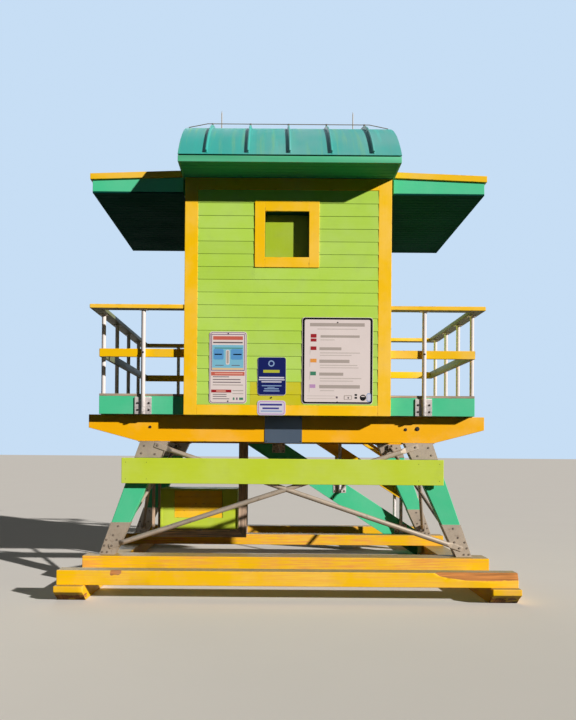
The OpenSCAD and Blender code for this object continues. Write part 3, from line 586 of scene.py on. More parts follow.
def solid_boxes(node):
    """The lowest and highest corner of each separate solid of a frame node."""
    bm = frame_mesh(node)
    boxes = []
    for part in parts_of(bm):
        points = [vert.co for face in part for vert in face.verts]
        lo = Vector(min(p[i] for p in points) for i in range(3))
        hi = Vector(max(p[i] for p in points) for i in range(3))
        boxes.append((lo, hi))
    bm.free()
    return sorted(boxes, key=lambda pair: tuple(round(c, 4) for c in pair[0]))


def add_mesh(bm, other):
    """Adds one mesh to another, and frees it."""
    held = bpy.data.meshes.new("held")
    other.to_mesh(held)
    other.free()
    bm.from_mesh(held)
    bpy.data.meshes.remove(held)


def dress(nodes, name, coat, rounding=0.004, shape=None):
    """One piece made from merged copies of frame nodes, which it replaces."""
    bm = bmesh.new()
    for node in nodes:
        add_mesh(bm, frame_mesh(node))
    make_piece(bm, name, coat, rounding, nodes, shape)


TRIM_WEAR = {"wear": 0.0018, "chips": 0.80, "fade": 0.10}
EDGE_WEAR = {"wear": 0.0015, "chips": 0.80, "fade": 0.08}
NO_WEAR = {"wear": 0.0, "chips": 0.90, "fade": 0.08}
POST_DIRT = {"dirt_low": DECK_LO.z, "dirt_high": WALK_Z + 0.06}

# Each finish: its slot, the function that makes it, its colours, and its settings
FINISHES = {
    "YellowPaint": ("yellow_wood", paint_on_wood, ("yellow", "worn"), TRIM_WEAR),
    "BeamPaint": ("yellow_wood", paint_on_wood, ("beam", "worn"), TRIM_WEAR),
    "RailPaint": ("yellow_wood", paint_on_wood, ("yellow", "worn"), {**TRIM_WEAR, "mildew": "mildew"}),
    "SkidPaint": ("yellow_wood", paint_on_wood, ("yellow", "raw"), {
        "wear": 0.0015, "chips": 0.78, "fade": 0.12, "depth": 0.72, "chalk": 0.85, "dust": "dust",
    }),
    "LimePaint": ("lime_wood", paint_on_wood, ("lime", "bare"), NO_WEAR),
    "OlivePaint": ("lime_wood", paint_on_wood, ("olive", "bare"), NO_WEAR),
    "ShutterPaint": ("lime_wood", paint_on_wood, ("shutter", "bare"), NO_WEAR),
    "BoardPaint": ("board_wood", paint_on_wood, ("board", "bare"), {
        **EDGE_WEAR, "wear": 0.001, "chips": 0.84,
    }),
    "GreenPaint": ("green_wood", paint_on_wood, ("green", "bare"), EDGE_WEAR),
    "FasciaPaint": ("green_wood", paint_on_wood, ("fascia", "bare"), EDGE_WEAR),
    "SoffitPaint": ("soffit_wood", paint_on_wood, ("soffit", "bare"), {
        **NO_WEAR, "fade": 0.10, "rough": 0.75, "gloss": 0.1,
    }),
    # Dark teal whose darkness is partly painted shade
    "WingSoffitPaint": ("soffit_wood", paint_on_wood, ("under", "bare"), {
        **NO_WEAR, "chips": 0.92, "fade": 0.10, "rough": 0.80, "gloss": 0.05,
    }),
    "NewTimber": ("bare_wood", bare_timber, ("fresh",), {}),
    "BareTimber": ("bare_wood", bare_timber, ("bare",), {}),
    "RoofCoat": ("roof_metal", roof_coat, ("roof",), {}),
    "DullSteel": ("galvanised", dull_steel, ("steel",), {}),
    "BoltSteel": ("galvanised", dull_steel, ("bolt",), {"metallic": 0.6, "rust": 0.8}),
    "StudSteel": ("galvanised", dull_steel, ("stud",), {"metallic": 0.3, "rust": 0.6}),
    "PostPaint": ("white_metal", painted_metal, ("post",), POST_DIRT),
    "PlatePaint": ("white_metal", painted_metal, ("post",), {**POST_DIRT, "dim": 0.88}),
    "SlatePaint": ("slate_metal", painted_metal, ("slate",), {"rough": 0.5}),
    "SignPrint": ("white_metal", printed_sheet, (), {}),
}


def finish(name):
    """A finish, made the first time that a piece asks for it."""
    make, paints, settings = FINISHES[name][1:]
    colours = bpy.context.scene.tower_colours
    given = {key: getattr(colours, v) if isinstance(v, str) else v for key, v in settings.items()}
    made = bpy.data.materials.get(name)
    return made or make(name, *(getattr(colours, paint) for paint in paints), **given)


def rows(low, high, width, gap):
    """The edges of a row of boards between two places, the last one ripped to fit."""
    count = max(1, math.ceil((high - low) / (width + gap)))
    for i in range(count):
        start = low + i * (width + gap)
        yield start, min(start + width, high)


def everything(bm):
    return bm.verts[:] + bm.edges[:] + bm.faces[:]


def cut(bm, place, way, **rest):
    """Cuts a mesh along a plane, and gives what lies on the cut."""
    return bmesh.ops.bisect_plane(
        bm, geom=everything(bm), dist=0.00001, plane_co=place, plane_no=way, **rest
    )["geom_cut"]


def slice_along(bm, axis, step):
    """Cuts a mesh across at even steps, for shaping and for maps at its points."""
    places = [vert.co.dot(axis) for vert in bm.verts]
    low, high = min(places), max(places)
    for i in range(1, math.ceil((high - low) / step)):
        cut(bm, axis * (low + i * step), axis)


class TOWER_OT_skid(bpy.types.Operator):
    """Make the two runners and the cross beams, with their broken edge and worn noses"""

    bl_idname = "tower.skid"
    bl_label = "Skid timbers"

    # Place along the front beam and depth below its upper edge, where the split slab's foot runs
    split = ((1.54, 0.0), (1.60, 0.036), (1.69, 0.052), (1.87, 0.077), (2.11, 0.084), (2.44, 0.078))
    split_back = 0.45
    split_deep = 0.06
    split_rough = 0.004
    beam_step = 0.06
    extra_cut = 0.03
    edge = 0.0008
    patch_lo = Vector((-1.864, 0.0, 0.280))
    patch_hi = Vector((-1.748, 0.0, 0.330))
    nose_lip = 0.066
    nose_run = 0.16
    nose_steps = ((Y, 0.08), (X, 0.05), (Z, 0.034))
    nose_wear = (0.43, 0.72)
    nose_rough = 0.012

    def split_depth(self, x):
        """Depth of the slab that has split off the front beam's upper edge."""
        for (x0, d0), (x1, d1) in zip(self.split, self.split[1:]):
            if x0 <= x <= x1:
                return d0 + (d1 - d0) * (x - x0) / (x1 - x0)
        return 0.0

    def shape_beams(self, bm):
        lo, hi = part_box("cross_beams")
        low, high = self.patch_lo, self.patch_hi
        slice_along(bm, X, self.beam_step)
        planes = [(way * at, way) for at, way in (
            (hi.z - self.extra_cut, Z), (lo.y + self.extra_cut, Y), (lo.y + self.split_deep, Y),
            (low.z, Z), (low.x, X), (high.x, X), (self.split[0][0], X),
        )]
        for (x0, d0), (x1, d1) in zip(self.split, self.split[1:]):
            planes.append((Vector((x0, 0, hi.z - d0)), Vector((d1 - d0, 0, x1 - x0)).normalized()))
        for place, way in planes:
            cut(bm, place, way)
        worn = bm.verts.layers.float.new("worn")
        draw = random.Random(5)
        edge = self.edge
        for vert in bm.verts:
            co = vert.co
            if co.y > lo.y + self.split_deep - edge:
                continue
            depth = self.split_depth(co.x)
            over = co.z - (hi.z - depth)
            if depth and over > -edge:
                vert[worn] = 1.0 if over > edge else 0.5
                push = max(0.0, over) * self.split_back + draw.uniform(0.0, self.split_rough)
                co.y += push * (1 - (co.y - lo.y) / self.split_deep)
            if low.x - edge < co.x < high.x + edge and low.z - edge < co.z:
                on_edge = min(abs(co.x - low.x), abs(co.x - high.x), abs(co.z - low.z)) < edge
                vert[worn] = 0.5 if on_edge else 1.0

    def shape_runners(self, bm):
        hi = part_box("runner_right")[1]
        for way, step in self.nose_steps:
            slice_along(bm, way, step)
        worn = bm.verts.layers.float.new("worn")
        draw = random.Random(9)
        for vert in bm.verts:
            co = vert.co
            if abs(co.y) < hi.y - self.nose_run or co.z > hi.z - self.nose_lip - self.split_rough:
                continue
            vert[worn] = draw.uniform(*self.nose_wear)
            if co.z > 0.01:
                co.y -= math.copysign(draw.uniform(0.0, self.nose_rough), co.y)

    def execute(self, context):
        dress(["cross_beams"], "skid_cross_beams", "SkidPaint", 0.006, self.shape_beams)
        dress(["runner_left", "runner_right"], "skid_runners", "SkidPaint", 0.007, self.shape_runners)
        return {"FINISHED"}


class TOWER_OT_legs(bpy.types.Operator):
    """Make the raked legs, their steel plates and the bolts through them"""

    bl_idname = "tower.legs"
    bl_label = "Legs and plates"

    head = 0.75
    strip = 0.004
    # Height over the foot or depth under the head, and share of the leg's half width
    foot_bolts = ((0.344, 0.06), (0.234, 0.20), (0.178, -0.45), (0.178, 0.80), (0.107, 0.80),
                  (0.030, 0.12), (0.030, 0.76))
    head_bolts = ((0.046, 0.60), (0.053, -0.42), (0.138, 0.60), (0.147, -0.47))

    def leg_line(self, z):
        """Middle and half width of the right leg at a height."""
        lo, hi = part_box("legs")
        points = [v.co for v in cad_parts["legs"].data.vertices if v.co.x > 0]
        feet = [p.x for p in points if p.z < lo.z + 0.001]
        heads = [p.x for p in points if p.z > hi.z - 0.001]
        share = (hi.z - z) / (hi.z - lo.z)
        left = min(heads) + share * (min(feet) - min(heads))
        right = max(heads) + share * (max(feet) - max(heads))
        return (left + right) / 2, (right - left) / 2

    def side_strips(self):
        """Thin steel on the legs' side faces, at the height of the plates."""
        bm = bmesh.new()
        spans = {(round(lo.z, 3), round(hi.z, 3)) for lo, hi in solid_boxes("leg_plates")}
        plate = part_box("legs")[0].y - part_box("leg_plates")[0].y
        for lo, hi in solid_boxes("legs"):
            side = math.copysign(1, lo.x)
            for low, high in sorted(spans):
                for edge in (-1, 1):
                    ring = []
                    for z, out in ((low, 0), (high, 0), (high, self.strip), (low, self.strip)):
                        middle, half = self.leg_line(z)
                        ring.append((side * (middle + edge * (half + out)), lo.y - plate, z))
                    prism(bm, ring, Y * (hi.y - lo.y + 2 * plate))
        make_piece(bm, "leg_side_strips", "DullSteel", 0.001)

    def execute(self, context):
        size = context.scene.tower_sizes
        dress(["legs"], "leg_timbers", "GreenPaint", 0.006)
        dress(["leg_plates"], "leg_steel", "DullSteel", 0.0015)
        self.side_strips()
        bm = bmesh.new()
        draw = random.Random(3)
        lo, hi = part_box("legs")
        plate = lo.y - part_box("leg_plates")[0].y
        spots = [(lo.z + rise, share) for rise, share in self.foot_bolts]
        spots += [(hi.z - drop, share) for drop, share in self.head_bolts]
        for leg_lo, leg_hi in solid_boxes("legs"):
            side = math.copysign(1, leg_lo.x)
            for z, share in spots:
                middle, half = self.leg_line(z)
                x = side * (middle + share * half)
                turn = draw.uniform(0, 1)
                bolt(bm, (x, leg_lo.y - plate, z), -Y, size.bolt * self.head, turn)
                bolt(bm, (x, leg_hi.y + plate, z), Y, size.bolt * self.head, turn)
        make_piece(bm, "leg_bolts", "StudSteel")
        return {"FINISHED"}


class TOWER_OT_braces(bpy.types.Operator):
    """Make the crossed pipes, with pressed ends in front and forked lugs at the sides"""

    bl_idname = "tower.braces"
    bl_label = "Pipe braces"

    front_pipe = 0.060
    side_pipe = 0.048
    foot_in = Vector((0.048, 0.0, 0.044))
    head_in = Vector((0.588, 0.0, 0.044))
    # Length that is pressed flat beyond the bolt, at the foot and at the head
    flat_foot = 0.090
    flat_head = 0.120
    # Distance along the pipe, half width, half thickness, offset to the plate, roundness
    tip = ((-0.036, 0.026, 0.0045, 0.0245, 0.45), (-0.028, 0.032, 0.0055, 0.0240, 0.35))
    swell = (
        (0.000, 0.033, 0.0060, 0.0240, 0.35), (0.022, 0.034, 0.0110, 0.0180, 0.55),
        (0.045, 0.032, 0.0230, 0.0060, 0.85), (0.070, 0.030, 0.0300, 0.0, 1.0),
    )
    lug_wall = 0.008
    lug_wide = 0.032
    lug_tall = 0.045
    lug_deep = 0.044
    lug_pin = 0.020
    pin_out = 0.6
    pipe_in = 0.016
    bolt_face = 0.018

    def pressed_pipe(self, bm, foot, head):
        """A pipe whose two ends are pressed flat against the leg plates."""
        way = (head - foot).normalized()
        side = Y.cross(way)
        near, far = (
            [(start + ahead * at, *rest) for at, *rest in self.tip]
            + [(start + ahead * (flat + at), *rest) for at, *rest in self.swell]
            for start, ahead, flat in ((foot, way, self.flat_foot), (head, -way, self.flat_head))
        )
        loft(bm, [
            (place + Y * back, side, Y, broad, thin, roundness)
            for place, broad, thin, back, roundness in near + far[::-1]
        ])

    def front_cross(self, size):
        lo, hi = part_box("front_brace")
        middle_y = hi.y - self.front_pipe / 2
        foot = Vector((hi.x, middle_y, lo.z)) + self.foot_in * Vector((-1, 0, 1))
        head = Vector((hi.x, middle_y, hi.z)) - self.head_in
        pipes, bolts = bmesh.new(), bmesh.new()
        for side in (1, -1):
            turned = Vector((side, 1, 1))
            self.pressed_pipe(pipes, foot * Vector((-side, 1, 1)), head * turned)
            for place in (foot * turned, head * turned):
                face = Vector((place.x, middle_y + self.bolt_face, place.z))
                bolt(bolts, face, -Y, size.bolt * 0.8, side * 0.4)
        make_piece(pipes, "front_pipes", "DullSteel", replaces=["front_brace"])
        make_piece(bolts, "front_pipe_bolts", "StudSteel")

    def side_cross(self, node, name):
        """Round pipes between lugs, each a plate with two cheeks and a bolt through them."""
        bm = bmesh.new()
        lo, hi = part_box(node)
        side = math.copysign(1, lo.x)
        low = max(abs(lo.x), abs(hi.x)) - self.lug_wide, lo.z + self.lug_tall
        high = min(abs(lo.x), abs(hi.x)) + self.lug_wide, hi.z - self.lug_tall
        for start, end in ((low, high), (high, low)):
            front = Vector((side * start[0], lo.y, start[1]))
            rear = Vector((side * end[0], hi.y, end[1]))
            rod(bm, front + Y * self.pipe_in, rear - Y * self.pipe_in, self.side_pipe, 28)
            self.lug(bm, front, 1)
            self.lug(bm, rear, -1)
        make_piece(bm, name, "DullSteel", 0.001, [node])

    def lug(self, bm, place, way):
        wall, deep = self.lug_wall, self.lug_deep * way
        half = Vector((self.lug_wide, 0, self.lug_tall))
        box(bm, place - half, place + half + Y * way * wall)
        for edge in (-half.x, half.x - wall):
            corner = place + Vector((edge, 0, -half.z))
            box(bm, corner, corner + Vector((wall, deep, 2 * half.z)))
        pin = [place + Vector((x, deep * self.pin_out, 0)) for x in (-self.lug_wide, self.lug_wide)]
        rod(bm, *pin, self.lug_pin, 12)

    def execute(self, context):
        self.front_cross(context.scene.tower_sizes)
        self.side_cross("side_brace_left", "side_pipes_left")
        self.side_cross("side_brace_right", "side_pipes_right")
        return {"FINISHED"}


class TOWER_OT_boards_in_front(bpy.types.Operator):
    """Make the bare name board with its cleats, and the slate plate on the beam"""

    bl_idname = "tower.boards_in_front"
    bl_label = "Name board and plate"

    cleat_in = (0.05, 0.30)
    cleat_half = 0.10
    plate_screw_in = 0.02

    def execute(self, context):
        size = context.scene.tower_sizes
        dress(["name_board"], "blank_board", "BoardPaint", size.rounding)
        dress(["number_plate"], "slate_plate", "SlatePaint", 0.0012)
        screws = bmesh.new()
        lo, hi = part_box("name_board")
        near, far = self.cleat_in
        middle = (lo.z + hi.z) / 2
        heights = middle - self.cleat_half, middle + self.cleat_half
        places = lo.x + near, lo.x + far, hi.x - far, hi.x - near
        bolts_at(screws, places, lo.y, heights, -Y, size.bolt * 0.22)
        lo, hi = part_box("number_plate")
        edge = self.plate_screw_in
        across = lo.x + edge, hi.x - edge
        bolts_at(screws, across, lo.y, (lo.z + edge, hi.z - edge), -Y, size.bolt * 0.4)
        make_piece(screws, "board_screws", "BoltSteel")
        return {"FINISHED"}


class TOWER_OT_deck(bpy.types.Operator):
    """Make the deck beams, joists, rim and boards"""

    bl_idname = "tower.deck"
    bl_label = "Deck"

    # Place along the beam, height and size of each
    beam_bolts = ((-1.655, 1.872, 1.0), (1.445, 1.862, 1.1), (1.588, 1.872, 1.5))

    def execute(self, context):
        size = context.scene.tower_sizes
        dress(["front_beam", "rear_beam"], "deck_beams", "BeamPaint", 0.005)
        dress(["joists"], "deck_joists", "BareTimber", size.rounding)
        dress(["deck_rim"], "deck_rim_boards", "GreenPaint", size.rounding)
        bm = bmesh.new()
        nodes = ["deck_left", "deck_right", "hut_floor", "landing_boards"]
        for node in nodes:
            lo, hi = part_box(node)
            for y0, y1 in rows(lo.y, hi.y, size.deck_board, size.deck_gap):
                box(bm, (lo.x + 0.0005, y0, lo.z), (hi.x - 0.0005, y1, hi.z))
        make_piece(bm, "deck_boards", "BareTimber", size.rounding, nodes, segments=1)
        bolts = bmesh.new()
        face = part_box("front_beam")[0].y
        for x, z, large in self.beam_bolts:
            bolt(bolts, (x, face, z), -Y, size.bolt * large)
        make_piece(bolts, "beam_bolts", "BoltSteel")
        return {"FINISHED"}


class Wall:
    """One side of the hut: where it runs, which way it faces and what is cut out of it."""

    def __init__(self, corner, along, out, length, low, high, holes=()):
        self.corner = Vector(corner)
        self.along = along
        self.out = out
        self.length = length
        self.low = low
        self.high = high
        self.holes = holes

    def at(self, along, out, z):
        spot = self.corner + self.along * along + self.out * out
        return Vector((spot.x, spot.y, z))

    def hole(self, box_of, margin=0.0):
        """The place of a frame node on this wall, as along and height ranges."""
        ends = sorted((corner - self.corner).dot(self.along) for corner in box_of)
        heights = sorted(corner.z for corner in box_of)
        return ends[0] - margin, ends[1] + margin, heights[0] - margin, heights[1] + margin


def corner_width():
    """Width of the corner boards, which the bands meet."""
    fronts = [hi.x for lo, hi in solid_boxes("band_boards") if lo.y < HUT_LO.y + 0.001]
    return HUT_HI.x - max(fronts)


def clear_runs(low, high, gaps):
    """What is left of a range when some gaps are taken out of it."""
    place = low
    for start, end in sorted(gaps):
        if start > place:
            yield place, min(start, high)
        place = max(place, end)
    if place < high:
        yield place, high


class TOWER_OT_siding(bpy.types.Operator):
    """Make the walls and the lapped siding boards that cover them"""

    bl_idname = "tower.siding"
    bl_label = "Walls and siding"

    thin = 0.015
    joint = 0.0008
    least_course = 0.01
    least_board = 0.002
    # Boards that were replaced on the front wall: their ends, and the lap over them
    mend = (-0.439, 0.188)
    mend_lap = 14

    def walls(self):
        bands = solid_boxes("band_boards")
        corner = corner_width()
        in_x = HUT_HI.x - corner
        front_low = min(hi.z for lo, hi in bands if lo.y < HUT_LO.y + 0.001)
        low = min(hi.z for lo, hi in bands if lo.y > HUT_LO.y + 0.001)
        high = max(lo.z for lo, hi in bands)
        wide = 2 * in_x
        deep = HUT_HI.y - HUT_LO.y - 2 * corner
        front = Wall((-in_x, WALL_LO.y, 0), X, -Y, wide, front_low, high)
        rear = Wall((in_x, WALL_HI.y, 0), -X, Y, wide, low, high)
        left = Wall((WALL_LO.x, HUT_HI.y - corner, 0), -Y, -X, deep, low, high)
        right = Wall((WALL_HI.x, HUT_LO.y + corner, 0), Y, X, deep, low, high)
        front.holes = [front.hole(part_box("window_frame"))]
        rear.holes = [rear.hole(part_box("lookout_casing"))]
        door = left.hole(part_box("door_casing"))
        left.holes = [(door[0], door[1], low - 1, door[3])]
        return front, rear, left, right

    def board(self, bm, wall, start, end, z0, z1, course):
        """Part of one siding board, thick at the course's foot and thin at its top."""
        low, high = course
        ring = [wall.at(start, 0, z0), wall.at(start, 0, z1)]
        for z in (z1, z0):
            share = (z - low) / (high - low)
            ring.append(wall.at(start, self.butt + share * (self.thin - self.butt), z))
        prism(bm, ring, wall.along * (end - start))

    def cover(self, bm, mended, wall, lap, lap_top):
        mend_top = lap_top - self.mend_lap * lap if wall.out == -Y else wall.low
        mend = [(Vector((x, 0, 0)) - wall.corner).dot(wall.along) for x in self.mend]
        count = math.ceil((lap_top - wall.low) / lap)
        lines = sorted(lap_top - i * lap for i in range(count))
        edges = [wall.low, *(z for z in lines if wall.low + self.least_course < z < wall.high), wall.high]
        for z0, z1 in zip(edges, edges[1:]):
            course = (z1 - lap, z1) if z0 == wall.low else (z0, z0 + lap)
            cuts = [hole for hole in wall.holes if hole[2] < z1 and hole[3] > z0]
            gaps = [(hole[0], hole[1]) for hole in cuts]
            if z1 < mend_top + 0.001:
                self.board(mended, wall, mend[0] + self.joint, mend[1] - self.joint, z0, z1, course)
                gaps.append(tuple(mend))
            for start, end in clear_runs(0.0, wall.length, gaps):
                self.board(bm, wall, start, end, z0, z1, course)
            for a0, a1, low, high in cuts:
                for part_low, part_high in ((z0, min(low, z1)), (max(high, z0), z1)):
                    if part_high - part_low > self.least_board:
                        self.board(bm, wall, a0, a1, part_low, part_high, course)

    def execute(self, context):
        size = context.scene.tower_sizes
        self.butt = size.lap_butt
        dress([
            "front_wall", "right_wall", "left_wall_front", "left_wall_rear",
            "left_wall_over_door", "rear_wall",
        ], "wall_panels", "LimePaint")
        bm, mended = bmesh.new(), bmesh.new()
        for wall in self.walls():
            self.cover(bm, mended, wall, size.lap, size.lap_top)
        make_piece(bm, "siding_boards", "LimePaint", 0.0012, segments=1)
        make_piece(mended, "replaced_boards", "OlivePaint", 0.0012, segments=1)
        return {"FINISHED"}


def board_ring(bm, outer_lo, outer_hi, inner_lo, inner_hi, flat, uprights_first=True):
    """Four boards round an opening. Flat is the axis across them: 0 for X, 1 for Y, 2 for Z."""
    first, second = [i for i in range(3) if i != flat]
    if not uprights_first:
        first, second = second, first
    for low_side in (True, False):
        for axis, other in ((first, second), (second, first)):
            lo, hi = Vector(outer_lo), Vector(outer_hi)
            if low_side:
                hi[axis] = inner_lo[axis]
            else:
                lo[axis] = inner_hi[axis]
            if axis == second:
                lo[other], hi[other] = inner_lo[other], inner_hi[other]
            if (hi - lo)[axis] > 0.001:
                box(bm, lo, hi)


class TOWER_OT_trim(bpy.types.Operator):
    """Make the corner boards, bands, casings and the window with its closed shutter"""

    bl_idname = "tower.trim"
    bl_label = "Trim and window"

    casing = 0.09
    opening_lap = 0.035
    lining = 0.018
    recess = 0.144
    shutter = 0.018
    batten = 0.045

    def corners(self, bm, corner):
        low = WALK_Z
        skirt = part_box("corner_boards")[0].z
        for side in (1, -1):
            out, inn = side * HUT_HI.x, side * WALL_HI.x
            edge = side * (HUT_HI.x - corner)
            boards = (
                ((edge, HUT_LO.y, skirt), (out, WALL_LO.y, HUT_HI.z)),
                ((inn, WALL_LO.y, low), (out, HUT_LO.y + corner, HUT_HI.z)),
                ((edge, WALL_HI.y, low), (out, HUT_HI.y, HUT_HI.z)),
                ((inn, HUT_HI.y - corner, low), (out, WALL_HI.y, HUT_HI.z)),
                ((inn, WALL_LO.y, skirt), (out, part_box("deck_rim")[0].y, low)),
            )
            for corners in boards:
                box_between(bm, *corners)

    def window(self):
        frame_lo, frame_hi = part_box("window_frame")
        back_lo, back_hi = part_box("window_shutter")
        lap = Vector((self.opening_lap, 0, self.opening_lap))
        hole_lo = Vector((back_lo.x, frame_lo.y, back_lo.z)) + lap
        hole_hi = back_hi - lap
        hole_hi.y = back_lo.y
        bm = bmesh.new()
        face_hi = Vector((frame_hi.x, WALL_LO.y, frame_hi.z))
        board_ring(bm, frame_lo, face_hi, hole_lo, hole_hi, 1)
        make_piece(bm, "window_boards", "YellowPaint", 0.003, ["window_frame"])
        bm = bmesh.new()
        wall = Vector((self.lining, 0, self.lining))
        lining_lo = Vector((hole_lo.x, WALL_LO.y, hole_lo.z)) - wall
        lining_hi = Vector((hole_hi.x, back_lo.y, hole_hi.z)) + wall
        board_ring(bm, lining_lo, lining_hi, hole_lo, hole_hi, 1)
        # The lining takes the dark soffit paint as painted shade in the window's recess
        make_piece(bm, "window_lining", "WingSoffitPaint", 0.002)
        bm = bmesh.new()
        front = frame_lo.y + self.recess
        shut_lo = Vector((hole_lo.x + 0.001, front, hole_lo.z + 0.001))
        shut_hi = Vector((hole_hi.x - 0.001, front + self.shutter, hole_hi.z - 0.001))
        box(bm, shut_lo, shut_hi)
        box(bm, back_lo, back_hi)
        for low, high in ((shut_lo.x, shut_lo.x + self.batten), (shut_hi.x - self.batten, shut_hi.x)):
            box(bm, (low, shut_hi.y, shut_lo.z), (high, back_lo.y, shut_hi.z))
        make_piece(bm, "shutter_boards", "ShutterPaint", 0.002, ["window_shutter"])

    def execute(self, context):
        size = context.scene.tower_sizes
        bm = bmesh.new()
        self.corners(bm, corner_width())
        for lo, hi in solid_boxes("band_boards"):
            box(bm, lo, hi)
        make_piece(bm, "trim_boards", "YellowPaint", size.rounding, ["corner_boards", "band_boards"])
        bm = bmesh.new()
        lo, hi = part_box("door_casing")
        wide = self.casing
        board_ring(bm, lo, hi, (lo.x, lo.y + wide, lo.z), (hi.x, hi.y - wide, hi.z - wide), 0)
        lo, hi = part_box("lookout_casing")
        board_ring(bm, lo, hi, (lo.x + wide, lo.y, lo.z + wide), (hi.x - wide, hi.y, hi.z - wide), 1)
        make_piece(bm, "casing_boards", "YellowPaint", size.rounding, ["door_casing", "lookout_casing"])
        self.window()
        return {"FINISHED"}


